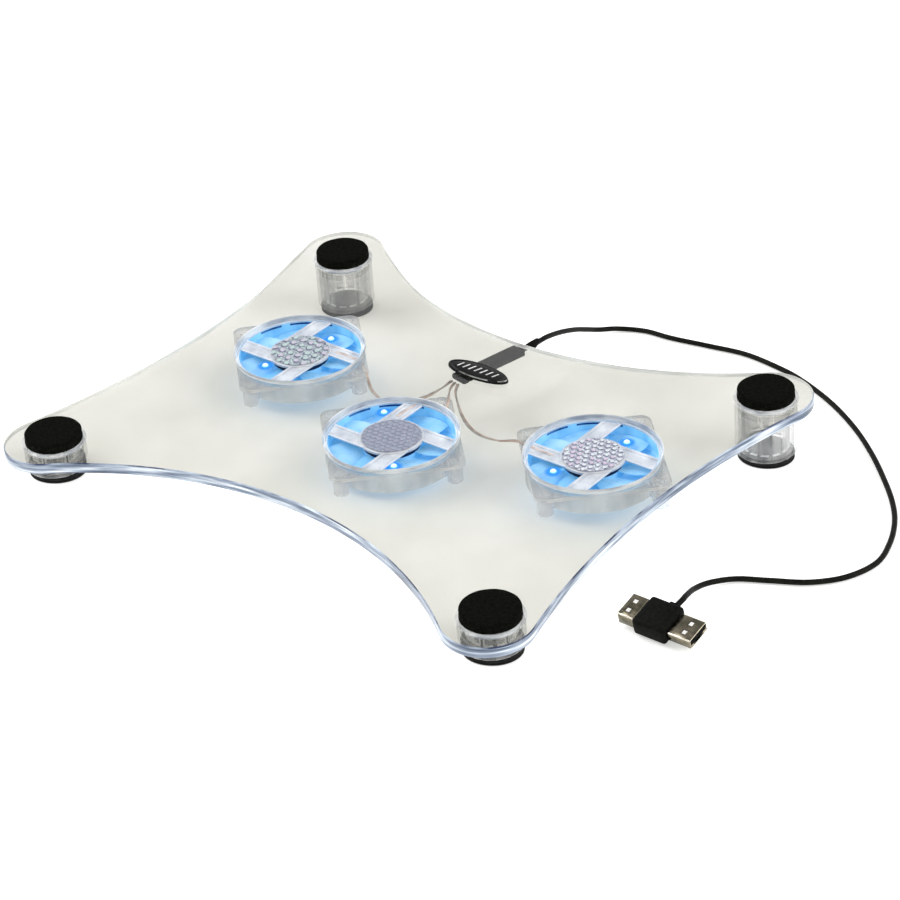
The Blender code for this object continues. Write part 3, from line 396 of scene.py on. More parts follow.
DARK = {
    "foam": dict(
        roughness=1.0, tones=((0.0018, 0.0022, 0.0014), (0.0062, 0.0066, 0.0048), 900.0, 6.0),
        bump=(1500.0, 0.25 * MM, 0.7), sheen=0.03),
    "rubber": dict(
        roughness=0.7, tones=((0.003, 0.003, 0.003), (0.010, 0.010, 0.009), 700.0),
        bump=(900.0, 0.05 * MM, 0.5), sheen=0.15),
    "gloss_black": dict(
        roughness=0.2, tones=((0.003, 0.003, 0.003), (0.009, 0.009, 0.008), 120.0),
        wear=(0.08, 0.22, 150.0), sheen=0.12),
    # Painted highlight on part of the badge's rim
    "badge_rim_painted_highlight": dict(
        roughness=0.3, metallic=0.7, tones=((0.10, 0.10, 0.09), (0.42, 0.42, 0.39), 150.0)),
    "silver_print": dict(
        roughness=0.35, metallic=0.1, tones=((0.50, 0.50, 0.48), (0.82, 0.82, 0.80), 600.0)),
    "matte_black": dict(
        roughness=0.6, tones=((0.0025, 0.0025, 0.002), (0.0065, 0.0065, 0.0055), 500.0),
        bump=(1400.0, 0.04 * MM, 0.5), sheen=0.05),
    "cover_grey": dict(
        tones=((0.012, 0.013, 0.012), (0.028, 0.029, 0.028), 260.0),
        bump=(1200.0, 0.04 * MM, 0.5), sheen=0.2),
    "cord_black": dict(
        tones=((0.003, 0.003, 0.002), (0.009, 0.0085, 0.006), 250.0),
        bump=(900.0, 0.03 * MM, 0.4), sheen=0.07),
    "lead_pink": dict(roughness=0.4, tones=((0.52, 0.33, 0.26), (0.80, 0.62, 0.54), 300.0)),
    "lead_grey": dict(roughness=0.4, tones=((0.36, 0.32, 0.29), (0.62, 0.58, 0.54), 300.0)),
    # Shell metal: the dark olive tone is painted dark reflection, darker than the metal's own
    # colour; the mottle and roughness are its wear
    "nickel": dict(
        roughness=0.22, metallic=1.0, tones=((0.095, 0.090, 0.060), (0.23, 0.20, 0.145), 240.0),
        wear=(0.14, 0.34, 500.0, 4.0, (0.2, 1.0, 1.0))),
    # Painted highlight on the shells' mouths and top edges
    "shell_painted_edge_highlight": dict(
        roughness=0.25, metallic=0.8, tones=((0.70, 0.64, 0.52), (0.92, 0.88, 0.78), 400.0)),
    "spring_steel": dict(
        roughness=0.3, metallic=0.3, tones=((0.80, 0.78, 0.72), (0.97, 0.96, 0.93), 500.0)),
}
# Four foil tones for the label of each fan: ground, painted shade on the lower rim of each bump,
# and two bump tints of foil colour with painted highlight
STICKERS = (
    ((0.36, 0.39, 0.46), (0.14, 0.16, 0.24), (0.56, 0.72, 0.68), (0.68, 0.62, 0.74)),
    ((0.30, 0.33, 0.42), (0.21, 0.23, 0.32), (0.38, 0.41, 0.50), (0.42, 0.40, 0.51)),
    ((0.50, 0.50, 0.60), (0.16, 0.18, 0.27), (0.86, 0.93, 0.95), (0.80, 0.64, 0.80)),
)
FOIL_SHADE = 0.82


def make_finishes():
    """Every material of the pad."""
    made = {name: make_finish(name, **details)
            for name, details in {**CLEAR, **FAN, **DARK}.items()}
    for number, tones in enumerate(STICKERS, 1):
        for zone, tone in zip("abcd", tones):
            name = f"sticker_{number}{zone}"
            shade = tuple(FOIL_SHADE * part for part in tone)
            made[name] = make_finish(name, tones=(shade, tone, 900.0), metallic=0.35,
                                     roughness=0.28, coat=(0.4, 0.03))
    made["led_lens"] = make_finish("led_lens", (0.02, 0.03, 0.04), 0.2)
    radial_light(made["led_lens"], LAMP_RADIUS, 1.3,
                 ((0.0, (0.86, 0.98, 1.0)), (0.75, (0.70, 0.94, 1.0)), (1.0, (0.15, 0.60, 1.0))))
    made["led_halo"] = make_finish("led_halo", (0.0, 0.02, 0.06), 0.4)
    radial_light(made["led_halo"], HALO_RADIUS, 1.0,
                 ((0.0, (0.10, 0.55, 1.0)), (0.45, (0.0, 0.25, 0.95)), (1.0, (0.03, 0.32, 0.92))),
                 fade=(0.22, 0.95))
    return made


# ---------------- mesh helpers
PIECES = bpy.data.collections.new("looks")
bpy.context.scene.collection.children.link(PIECES)


def attach(name, data, place, node, body):
    """Put an object in the scene, on its body, in place of its CAD node."""
    piece = bpy.data.objects.new(name, data)
    PIECES.objects.link(piece)
    piece.matrix_world = place
    bpy.context.view_layer.update()
    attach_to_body(piece, body)
    if node:
        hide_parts(node)
    return piece


def add_piece(name, mesh, finishes, place, node, body=PAD_BODY):
    """Attach a finished mesh whose faces' zones count along its finishes."""
    zones = [min(face.material_index, len(finishes) - 1) for face in mesh.polygons]
    mesh.materials.clear()
    for finish in finishes:
        mesh.materials.append(FINISH[finish])
    mesh.polygons.foreach_set("material_index", zones)
    return attach(name, mesh, place, node, body)


def bake(shape):
    """Apply a helper object's modifiers and return its mesh."""
    bpy.context.view_layer.update()
    evaluated = shape.evaluated_get(bpy.context.evaluated_depsgraph_get())
    mesh = bpy.data.meshes.new_from_object(evaluated)
    mesh.name = shape.name
    bpy.data.objects.remove(shape, do_unlink=True)
    return mesh


def helper(name, mesh):
    """A temporary object that holds a mesh while modifiers run on it."""
    shape = bpy.data.objects.new(name, mesh)
    bpy.context.scene.collection.objects.link(shape)
    return shape


def smooth(mesh, angle=35.0):
    """Shade smooth, with corners above the angle left sharp."""
    mesh.shade_smooth()
    mesh.set_sharp_from_angle(angle=radians(angle))
    return mesh


def finished(work, name, angle=None):
    """Turn a bmesh into a mesh, shaded smooth up to an angle if one is given."""
    mesh = bpy.data.meshes.new(name)
    work.to_mesh(mesh)
    work.free()
    return smooth(mesh, angle) if angle else mesh


def turned(name, profile, steps=64, closed=False):
    """Turn (radius, height) points about the vertical axis."""
    work = bmesh.new()
    points = [work.verts.new((radius, 0.0, height)) for radius, height in profile]
    edges = [work.edges.new(pair) for pair in zip(points, points[1:])]
    if closed:
        edges.append(work.edges.new((points[-1], points[0])))
    bmesh.ops.spin(work, geom=points + edges, cent=(0, 0, 0), axis=(0, 0, 1), angle=2.0 * pi,
                   steps=steps, use_merge=True)
    bmesh.ops.remove_doubles(work, verts=work.verts, dist=1e-7)
    bmesh.ops.recalc_face_normals(work, faces=work.faces)
    return finished(work, name, 35.0)


def drum(name, radius, top, bottom, steps=32):
    """A solid cylinder between two heights."""
    return turned(name, [(0.0, top), (radius, top), (radius, bottom), (0.0, bottom)], steps)


def box(name, size, centre, turn=0.0):
    """A box of a size about a centre, turned about the vertical."""
    work = bmesh.new()
    shape = Matrix.Rotation(turn, 4, "Z") @ Matrix.Translation(centre)
    shape = shape @ Matrix.Diagonal((*size, 1.0))
    bmesh.ops.create_cube(work, size=1.0, matrix=shape)
    return finished(work, name)


def gathered(name, meshes):
    """Gather meshes into one."""
    work = bmesh.new()
    for mesh in meshes:
        work.from_mesh(mesh)
    return finished(work, name)


def bridge(work, rows):
    """Faces between closed rows of points, each with its level and its place in the row."""
    for level, (upper, lower) in enumerate(zip(rows, rows[1:])):
        for i in range(len(upper)):
            j = (i + 1) % len(upper)
            yield work.faces.new((upper[i], lower[i], lower[j], upper[j])), level, i


def moved(mesh, matrix):
    """Transform a mesh and return it."""
    mesh.transform(matrix)
    return mesh


def combine(name, base, steps):
    """Run Boolean (operation, mesh) steps on a base mesh."""
    body = helper(name, base)
    operands = []
    for operation, mesh in steps:
        operand = helper("operand", mesh)
        operands.append(operand)
        boolean = body.modifiers.new(operation, "BOOLEAN")
        boolean.operation = operation
        boolean.solver = "EXACT"
        boolean.object = operand
    mesh = bake(body)
    for operand in operands:
        bpy.data.objects.remove(operand, do_unlink=True)
    return mesh


def bevelled(mesh, width, segments=2, angle=40.0, painted_highlight_zone=-1):
    """Round a mesh's corners; the bevel faces can take a zone for a painted highlight."""
    shape = helper(mesh.name, mesh)
    bevel = shape.modifiers.new("bevel", "BEVEL")
    bevel.width = width
    bevel.segments = segments
    bevel.limit_method = "ANGLE"
    bevel.angle_limit = radians(angle)
    bevel.material = painted_highlight_zone
    bevel.harden_normals = True
    mesh.shade_smooth()
    return bake(shape)


def circle(radius, steps, centre=(0.0, 0.0)):
    """Points of a circle, counter-clockwise."""
    return [(centre[0] + radius * cos(2.0 * pi * i / steps),
             centre[1] + radius * sin(2.0 * pi * i / steps)) for i in range(steps)]


def inset_loop(loop, distance):
    """Move a closed loop to its left by a distance."""
    count = len(loop)
    shifted = []
    for i in range(count):
        before, here, after = (Vector(loop[(i + k) % count]) for k in (-1, 0, 1))
        along = ((here - before).normalized() + (after - here).normalized()).normalized()
        shifted.append((here.x - along.y * distance, here.y + along.x * distance))
    return shifted


def painted_reflection_zone(start, end):
    """Painted reflection: edges facing the front right are zone 1, darker; edges facing away zone
    3, pale.
    """
    outward = Vector((end[1] - start[1], start[0] - end[0])).normalized()
    return 3 if outward.dot(Vector((-0.63, 0.78))) > 0.0 else 1


def rounded_slab(name, outer, holes, top, bottom, rounding, steps=3):
    """A flat sheet with holes and rounded edges: faces 0, holes 2, outer edges 1, 3 and 4 for
    painted reflection.
    """
    loops = [list(outer)] + [list(reversed(hole)) for hole in holes]
    work = bmesh.new()
    profile = []
    for i in range(steps + 1):
        angle = 0.5 * pi * i / steps
        profile.append((rounding * (1.0 - sin(angle)), top - rounding * (1.0 - cos(angle))))
    profile += [(offset, top + bottom - height) for offset, height in reversed(profile)]
    caps = {0: [], len(profile) - 1: []}
    for number, loop in enumerate(loops):
        rows = []
        for level, (offset, height) in enumerate(profile):
            ring = inset_loop(loop, offset)
            row = [work.verts.new((x, y, height)) for x, y in ring]
            rows.append(row)
            if level in caps:
                caps[level].append(row)
        for face, level, i in bridge(work, rows):
            face.smooth = True
            # Outer edges take a painted reflection by the way they face; the rounded rims of front
            # edges, zone 4, take a painted reflection line
            zone = 2 if number else painted_reflection_zone(loop[i], loop[(i + 1) % len(loop)])
            rounded = level < steps or level >= len(rows) - 1 - steps
            face.material_index = 4 if rounded and zone == 1 else zone
    for level, rings in caps.items():
        flat = [vertex for ring in rings for vertex in ring]
        triangles = tessellate_polygon([[vertex.co for vertex in ring] for ring in rings])
        for triangle in triangles:
            work.faces.new([flat[i] for i in triangle])
    bmesh.ops.recalc_face_normals(work, faces=work.faces)
    return finished(work, name)


def add_tube(name, points, radius, finish, place=Matrix(), node=None):
    """A round wire on one smooth spline through its points."""
    curve = bpy.data.curves.new(name, "CURVE")
    curve.dimensions = "3D"
    curve.bevel_depth = radius
    curve.bevel_resolution = 4
    curve.resolution_u = 10
    curve.use_fill_caps = True
    spline = curve.splines.new("BEZIER")
    spline.bezier_points.add(len(points) - 1)
    knots = [Vector(point) for point in points]
    padded = [2 * knots[0] - knots[1]] + knots + [2 * knots[-1] - knots[-2]]
    for i, knot in enumerate(spline.bezier_points):
        reach = (padded[i + 2] - padded[i]) / 6.0
        knot.handle_left_type = knot.handle_right_type = "FREE"
        knot.co = padded[i + 1]
        knot.handle_left = padded[i + 1] - reach
        knot.handle_right = padded[i + 1] + reach
    curve.materials.append(FINISH[finish])
    return attach(name, curve, place, node, PAD_BODY)


# ---------------- cord and plug
PLUG_SPOT = (0.1696, -0.0499, 0.0065)
PLUG_PITCH = radians(16.7)
PLUG = Matrix.Translation(Vector(PLUG_SPOT) + CENTRING) @ Matrix.Rotation(PLUG_PITCH, 4, "X")
PLUG_LENGTH = 15.8 * MM
PLUG_WIDTH = 16.0 * MM
PLUG_HEIGHT = 8.0 * MM


def make_cord(with_pieces):
    """The USB cord from its strain relief to the plug."""
    points = [Vector((x, y, z)) * MM + CENTRING for x, y, z in CORD_ROUTE_MM]
    cord = add_tube("cord", points, 0.5 * CORD_DIAMETER, "cord_black",
                    node="usb_cord")
    cord.data.resolution_u = 12
    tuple(points[0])


def make_plug():
    """Overmoulded plug body, both metal shells and their tongues."""
    body = box("plug_body", (PLUG_LENGTH, PLUG_WIDTH, PLUG_HEIGHT), (0.0, 0.0, 0.0))
    body = bevelled(body, 1.5 * MM, 5)
    entry = box("entry", (5.0 * MM, 3.0 * MM, 4.2 * MM), (2.0 * MM, 8.3 * MM, 0.0))
    entry = bevelled(entry, 0.6 * MM, 3)
    body = combine("plug_body", body, [("UNION", entry)])
    pieces = [add_piece("plug_body", smooth(body, 50.0), ["matte_black"], PLUG, "usb_body")]
    root = 0.5 * PLUG_LENGTH + GAP
    ahead = PLUG @ Matrix.Translation((root, 0.0, 0.0))
    behind = PLUG @ Matrix.Translation((-root, 0.0, 0.0)) @ Matrix.Rotation(pi, 4, "Z")
    for name, node, place, size in (
            ("plug_shell", "usb_plug_shell", ahead, (11.0 * MM, 12.0 * MM, 4.5 * MM)),
            ("socket_shell", "usb_socket_shell", behind, (7.8 * MM, 12.5 * MM, 5.6 * MM))):
        pieces += make_shell(name, node, place, size)
    for node in ("usb_plug_tongue", "usb_socket_tongue"):
        finish_node(node, "matte_black")
        pieces.append(frame["nodes"][node])
    return pieces


def make_shell(name, node, place, size):
    """Folded metal shell with two spring windows in its top and a bottom seam."""
    length, width, height = size
    wall = 0.35 * MM
    outer = box(name, size, (0.5 * length, 0.0, 0.0))
    outer = bevelled(outer, 0.45 * MM, 3, painted_highlight_zone=1)
    hollow = box("hollow", (length, width - 2.0 * wall, height - 2.0 * wall),
                 (0.5 * length + wall, 0.0, 0.0))
    hollow = bevelled(hollow, 0.3 * MM, 2)
    cuts = []
    for side in (-1, 1):
        spot = (0.56 * length, side * 0.21 * width, 0.5 * height)
        cuts.append(box("window", (2.1 * MM, 2.3 * MM, 1.2 * MM), spot))
    seam = box("seam", (length * 2.0, 0.15 * MM, 1.0 * MM), (0.0, 0.0, -0.5 * height))
    shell = combine(name, outer, [("DIFFERENCE", hollow),
                                  ("DIFFERENCE", gathered("windows", cuts)),
                                  ("DIFFERENCE", seam)])
    # The mouth and the top's bevels take the painted highlight, zone 1
    for polygon in shell.polygons:
        slanted = abs(polygon.normal.y) > 0.25 and polygon.normal.z > 0.25
        if polygon.center.x > length - 0.06 * MM or slanted:
            polygon.material_index = 1
    leaves = [bevelled(box("leaf", (1.75 * MM, 1.9 * MM, 0.18 * MM),
                           (0.56 * length + 0.1 * MM, side * 0.21 * width,
                            0.5 * height - 0.16 * MM)), 0.05 * MM, 2) for side in (-1, 1)]
    springs = add_piece(name + "_springs", gathered("springs", leaves), ["spring_steel"], place,
                        None)
    metal = add_piece(name, smooth(shell, 40.0), ["nickel", "shell_painted_edge_highlight"], place, node)
    return [metal, springs]


def make_strain_relief():
    """Tapered ringed sleeve where the cord leaves the cable cover."""
    length = 15.0 * MM
    profile = [(0.0, 0.0), (1.9 * MM, 0.0), (2.1 * MM, 0.3 * MM), (2.1 * MM, 1.0 * MM),
               (1.85 * MM, 1.8 * MM), (1.85 * MM, 2.4 * MM), (2.1 * MM, 3.2 * MM)]
    for i in range(5):
        start = (3.6 + 1.7 * i) * MM
        radius = (2.35, 2.35, 2.3, 2.15, 1.95)[i] * MM
        profile += [(radius, start), (radius, start + 0.9 * MM),
                    (radius - 0.3 * MM, start + 1.1 * MM), (radius - 0.3 * MM, start + 1.5 * MM)]
    profile += [(1.7 * MM, 13.0 * MM), (1.55 * MM, 14.4 * MM), (1.3 * MM, length), (0.0, length)]
    relief = turned("strain_relief_sleeve", profile, 32)
    rear = Vector((0.5 * MM, 80.5 * MM + 2.2 * GAP, PLATE_BOTTOM - GAP - 1.4 * MM))
    place = PAD @ Matrix.Translation(rear) @ Matrix.Rotation(radians(5.0), 4, "Z") \
        @ Matrix.Rotation(-0.5 * pi, 4, "X")
    return add_piece("strain_relief_sleeve", relief, ["matte_black"], place, "strain_relief")


# ---------------- plate and feet
def plate_outline(arc_steps=80, tip_steps=40):
    """Four concave sides joined by rounded tips, counter-clockwise."""
    side_reach = WAIST_X - TIP_RADIUS
    end_reach = WAIST_Y - TIP_RADIUS
    tip_square = TIP_X ** 2 + TIP_Y ** 2
    side_centre = (side_reach ** 2 - tip_square) / (2.0 * (side_reach - TIP_X))
    end_centre = (end_reach ** 2 - tip_square) / (2.0 * (end_reach - TIP_Y))
    side_radius = side_centre - WAIST_X
    end_radius = end_centre - WAIST_Y
    side_angle = atan2(TIP_Y, side_centre - TIP_X)
    end_angle = atan2(TIP_X, end_centre - TIP_Y)
    half = arc_steps // 2
    quarter = []
    for i in range(half):
        angle = side_angle * i / half
        quarter.append((side_centre - side_radius * cos(angle), side_radius * sin(angle)))
    for i in range(tip_steps + 1):
        angle = -side_angle + (0.5 * pi + end_angle + side_angle) * i / tip_steps
        quarter.append((TIP_X + TIP_RADIUS * cos(angle), TIP_Y + TIP_RADIUS * sin(angle)))
    for i in range(half - 1, 0, -1):
        angle = end_angle * i / half
        quarter.append((end_radius * sin(angle), end_centre - end_radius * cos(angle)))
    outline = list(quarter) + [(0.0, WAIST_Y)]
    outline += [(-x, y) for x, y in reversed(quarter[1:])] + [(-WAIST_X, 0.0)]
    outline += [(-x, -y) for x, y in quarter[1:]] + [(0.0, -WAIST_Y)]
    outline += [(x, -y) for x, y in reversed(quarter[1:])]
    return [placed(x, y) for x, y in outline]


def placed(x, y):
    """Shift an outline point, with the rear left tip reaching a little further out."""
    distance = hypot(x + TIP_X, y - TIP_Y)
    share = min(1.0, max(0.0, (REACH_END - distance) / (REACH_END - REACH_FULL)))
    share = share * share * (3.0 - 2.0 * share)
    return (x + OUTLINE_SHIFT[0] + share * REAR_LEFT_REACH[0],
            y + OUTLINE_SHIFT[1] + share * REAR_LEFT_REACH[1])


def make_plate():
    """The clear plate with its polished rounded edge."""
    holes = [circle(DUCT_RADIUS + GAP, 128, (spot.x, spot.y)) for spot in FAN_SPOTS]
    holes += [circle(FOOT_HOLE, 64, spot) for spot in FOOT_SPOTS.values()]
    mesh = rounded_slab("plate", plate_outline(), holes, PLATE_TOP, PLATE_BOTTOM, 0.5 * MM)
    # The edge, rim and pale edge finishes are painted reflection
    finishes = ["acrylic", "acrylic_edge_painted_reflection", "acrylic_bore", "acrylic_pale_painted_reflection", "acrylic_rim_painted_reflection"]
    add_piece("plate", mesh, finishes, PAD, "base_plate")


def make_foam(label, spot):
    """Black foam disc, softly rounded and a little uneven."""
    rounding = 1.0 * MM
    profile = [(0.0, FOAM_TOP), (4.0 * MM, FOAM_TOP), (8.0 * MM, FOAM_TOP)]
    for i in range(5):
        angle = 0.5 * pi * i / 4
        profile.append((FOAM_RADIUS - rounding + rounding * sin(angle),
                        FOAM_TOP - rounding + rounding * cos(angle)))
    profile += [(FOAM_RADIUS, 0.5 * (FOAM_TOP + FOAM_BASE)), (FOAM_RADIUS, FOAM_SKIRT + 0.3 * MM),
                (FOAM_RADIUS - 0.2 * MM, FOAM_SKIRT), (12.45 * MM, FOAM_SKIRT),
                (12.4 * MM, FOAM_BASE), (6.0 * MM, FOAM_BASE), (0.0, FOAM_BASE)]
    mesh = turned("foam", profile, 96)
    seed = Vector((spot[0] * 100.0, spot[1] * 100.0, 0.0))
    for vertex in mesh.vertices:
        wobble = noise.noise(vertex.co * 260.0 + seed)
        reach = hypot(vertex.co.x, vertex.co.y)
        if reach > 0.0 and vertex.co.z > FOAM_BASE + 0.1 * MM:
            pull = 1.0 - (0.12 * MM + 0.12 * MM * wobble) / FOAM_RADIUS * (reach / FOAM_RADIUS)
            vertex.co.x *= pull
            vertex.co.y *= pull
            vertex.co.z -= 0.08 * MM * (1.0 + wobble)
    place = PAD @ Matrix.Translation((*spot, 0.0))
    pad = add_piece("foam_" + label, mesh, ["foam"], place, "foam_pad_" + label)


def table_depth(y):
    """Height of the table in the pad frame at a given y."""
    inverse = PAD.inverted()
    origin = inverse @ Vector((0.0, 0.0, 0.0))
    normal = inverse.to_3x3() @ Vector((0.0, 0.0, 1.0))
    return origin.z - (y - origin.y) * normal.y / normal.z


def make_cap(tip):
    """Snap-in cap: rounded flange, notched collar and a ring of fingers."""
    base = PLATE_TOP + GAP
    flange = base + 0.5 * MM
    crown = flange + 0.4 * MM
    collar = 12.2 * MM
    rim = 14.6 * MM
    outer = 10.9 * MM
    inner = 9.5 * MM
    profile = [(0.0, crown), (collar - 0.15 * MM, crown), (collar, crown - 0.15 * MM),
               (collar, flange), (rim - 0.3 * MM, flange), (rim, flange - 0.25 * MM), (rim, base),
               (outer, base), (outer, tip + 0.3 * MM), (outer - 0.3 * MM, tip),
               (inner + 0.3 * MM, tip), (inner, tip + 0.3 * MM), (inner, base), (0.0, base)]
    blank = turned("cap", profile, 96)
    depth = -3.0 * MM - tip + MM
    slots = [box("slot", (4.8 * MM, 1.6 * MM, depth), (outer, 0.0, -3.0 * MM - 0.5 * depth),
                 2.0 * pi * (i + 0.5) / 12) for i in range(12)]
    notches = [box("notch", (2.4 * MM, 2.0 * MM, 1.0 * MM), (collar, 0.0, flange + 0.45 * MM),
                   pi * i / 3 + 0.35) for i in range(6)]
    cap = combine("cap", blank, [("DIFFERENCE", gathered("slots", slots)),
                                 ("DIFFERENCE", gathered("notches", notches))])
    # Faces within 2 mm of the finger tips take the painted highlight
    for face in cap.polygons:
        face.material_index = 1 if face.center.z < tip + 2.0 * MM else 0
    return smooth(cap)


def make_cup(bottom):
    """Clear hollow leg with a rounded base and a stepped rim."""
    top = PLATE_BOTTOM - GAP
    inner = CUP_RADIUS - CUP_WALL
    profile = [(inner, top), (inner + 0.2 * MM, top), (CUP_RADIUS - 0.2 * MM, top),
               (CUP_RADIUS, top - 0.2 * MM), (CUP_RADIUS, bottom + 2.4 * MM)]
    rounding = 1.8 * MM
    for i in range(7):
        angle = 0.5 * pi * i / 6
        profile.append((CUP_RADIUS - rounding * (1.0 - cos(angle)),
                        bottom + rounding * (1.0 - sin(angle))))
    floor = bottom + CUP_WALL
    profile += [(0.0, bottom), (0.0, floor), (inner - 0.8 * MM, floor),
                (inner - 0.2 * MM, floor + 0.2 * MM), (inner, floor + 0.8 * MM)]
    return turned("cup", profile, 96, closed=True)


def make_rubber(foot_y, top):
    """Rubber pad cut level with the table, with a moulded groove."""
    work = bmesh.new()
    rows = []
    for inset, share in ((0.6 * MM, 1.0), (0.0, 0.86), (0.0, 0.55), (0.35 * MM, 0.48),
                         (0.35 * MM, 0.38), (0.0, 0.3), (0.0, 0.1), (0.3 * MM, 0.0)):
        row = []
        for x, y in circle(RUBBER_RADIUS - inset, 96):
            base = table_depth(foot_y + y) + 0.01 * MM
            row.append(work.verts.new((x, y, base + (top - base) * share)))
        rows.append(row)
    list(bridge(work, rows))
    work.faces.new(rows[0])
    work.faces.new(list(reversed(rows[-1])))
    bmesh.ops.recalc_face_normals(work, faces=work.faces)
    return finished(work, "rubber", 35.0)


def make_feet():
    """Four feet: foam, cap, clear leg and rubber pad."""
    shared = {}
    for label, (x, y) in FOOT_SPOTS.items():
        place = PAD @ Matrix.Translation((x, y, 0.0))
        rubber_top = table_depth(y) + RUBBER_THICKNESS
        bottom = rubber_top + GAP
        if y not in shared:
            shared[y] = (make_cap(bottom + CUP_WALL + 0.8 * MM), make_cup(bottom),
                         make_rubber(y, rubber_top))
        cap, cup, rubber = shared[y]
        make_foam(label, (x, y))
        add_piece("cap_" + label, cap, ["clear_plastic", "clear_tip_painted_highlight"], place,
                  "foot_cap_" + label)
        add_piece("leg_" + label, cup, ["leg_plastic_painted_streaks"], place, "foot_leg_" + label)
        add_piece("rubber_" + label, rubber, ["rubber"], place, "rubber_foot_" + label)


# ---------------- fans
def make_housing():
    """Clear fan housing: square flange, duct, posts with pin holes, four arms and the disc."""
    half = 30.0 * MM
    corner = 5.0 * MM
    outline = []
    for quarter in range(4):
        middle = 0.25 * pi + 0.5 * pi * quarter
        centre_x = (half - corner) * (1 if cos(middle) > 0 else -1)
        centre_y = (half - corner) * (1 if sin(middle) > 0 else -1)
        for i in range(9):
            angle = 0.5 * pi * (quarter + i / 8)
            x = centre_x + corner * cos(angle)
            y = centre_y + corner * sin(angle)
            outline.append(((x - y) * 0.5 ** 0.5, (x + y) * 0.5 ** 0.5))
    flange = rounded_slab("housing", outline, [], FLANGE_TOP, FLANGE_TOP - 1.6 * MM, 0.25 * MM, 2)
    duct = turned("duct", [(0.0, DUCT_TOP), (DUCT_RADIUS - 0.35 * MM, DUCT_TOP),
                           (DUCT_RADIUS - 0.05 * MM, DUCT_TOP - 0.3 * MM),
                           (DUCT_RADIUS - 0.05 * MM, FAN_BOTTOM + 0.3 * MM),
                           (DUCT_RADIUS - 0.35 * MM, FAN_BOTTOM), (0.0, FAN_BOTTOM)], 128)
    orbit = hypot(25.0 * MM, 25.0 * MM)
    posts, pins, webs = [], [], []
    for i in range(4):
        spot = Matrix.Rotation(0.5 * pi * i, 4, "Z") @ Matrix.Translation((orbit, 0.0, 0.0))
        top = FLANGE_TOP - 0.8 * MM
        post = turned("post", [(0.0, top), (3.6 * MM, top), (3.6 * MM, FAN_BOTTOM + 0.4 * MM),
                               (3.2 * MM, FAN_BOTTOM), (0.0, FAN_BOTTOM)], 32)
        posts.append(moved(post, spot))
        pins.append(moved(drum("pin", 2.2 * MM, 0.0, FAN_BOTTOM - MM), spot))
        height = top - FAN_BOTTOM - MM
        webs.append(box("web", (orbit - DUCT_BORE, 1.4 * MM, height),
                        (0.5 * (DUCT_BORE + orbit), 0.0, FAN_BOTTOM + 0.5 * height + 0.5 * MM),
                        0.5 * pi * i))
    bore = drum("bore", DUCT_BORE, MM, FAN_BOTTOM - MM, 128)
    arm_top = DUCT_TOP - 0.15 * MM
    reach = 29.2 * MM
    arms = []
    for i in range(4):
        arm = box("arm", (reach - 0.6 * MM, 8.6 * MM, 1.0 * MM),
                  (0.5 * reach, 9.3 * MM, arm_top - 0.5 * MM), 0.5 * pi * i)
        channel = box("channel", (reach, 5.0 * MM, 0.5 * MM),
                      (0.5 * reach + 3.0 * MM, 9.3 * MM, arm_top), 0.5 * pi * i)
        arms.append(combine("arm", bevelled(arm, 0.42 * MM, 2), [("DIFFERENCE", channel)]))
    limit = drum("limit", reach, 0.0, DUCT_TOP - 2.0 * MM, 128)
    arms = combine("arms", gathered("arms", arms), [("INTERSECT", limit)])
    disc_bottom = DUCT_TOP - 1.2 * MM
    disc = turned("disc", [(0.0, DUCT_TOP), (DISC_RADIUS - 0.2 * MM, DUCT_TOP),
                           (DISC_RADIUS, DUCT_TOP - 0.2 * MM), (DISC_RADIUS, disc_bottom),
                           (3.7 * MM, disc_bottom), (3.7 * MM, -9.5 * MM), (0.0, -9.5 * MM)], 96)
    seat = drum("seat", 3.0 * MM, disc_bottom - 0.2 * MM, -11.0 * MM)
    spider = combine("spider", disc, [("UNION", arms), ("DIFFERENCE", seat)])
    housing = combine("housing", flange, [
        ("UNION", duct), ("UNION", gathered("posts", posts)), ("UNION", gathered("webs", webs)),
        ("DIFFERENCE", bore), ("UNION", spider), ("DIFFERENCE", gathered("pins", pins))])
    return smooth(zoned_housing(housing), 30.0)


def zoned_housing(housing):
    """Arms and disc are zone 1, their rounded edges and the duct's rim 2, the duct's outside 3."""
    for face in housing.polygons:
        reach = hypot(face.center.x, face.center.y)
        high = face.center.z > DUCT_TOP - 1.3 * MM
        if high and reach < 28.2 * MM:
            face.material_index = 2 if 0.15 < face.normal.z < 0.97 else 1
        elif high and 0.15 < face.normal.z < 0.97:
            face.material_index = 2
        elif 29.3 * MM < reach < 30.1 * MM and abs(face.normal.z) < 0.3:
            face.material_index = 3
    return housing


BLADES = 7
BLADE_TIP = 27.9 * MM
BLADE_TOP = -4.6 * MM
BLADE_DROP = 6.2 * MM
# Degrees round the hub that a blade covers, and that its tip trails by
BLADE_CHORD = 90.0
BLADE_SWEEP = 14.0


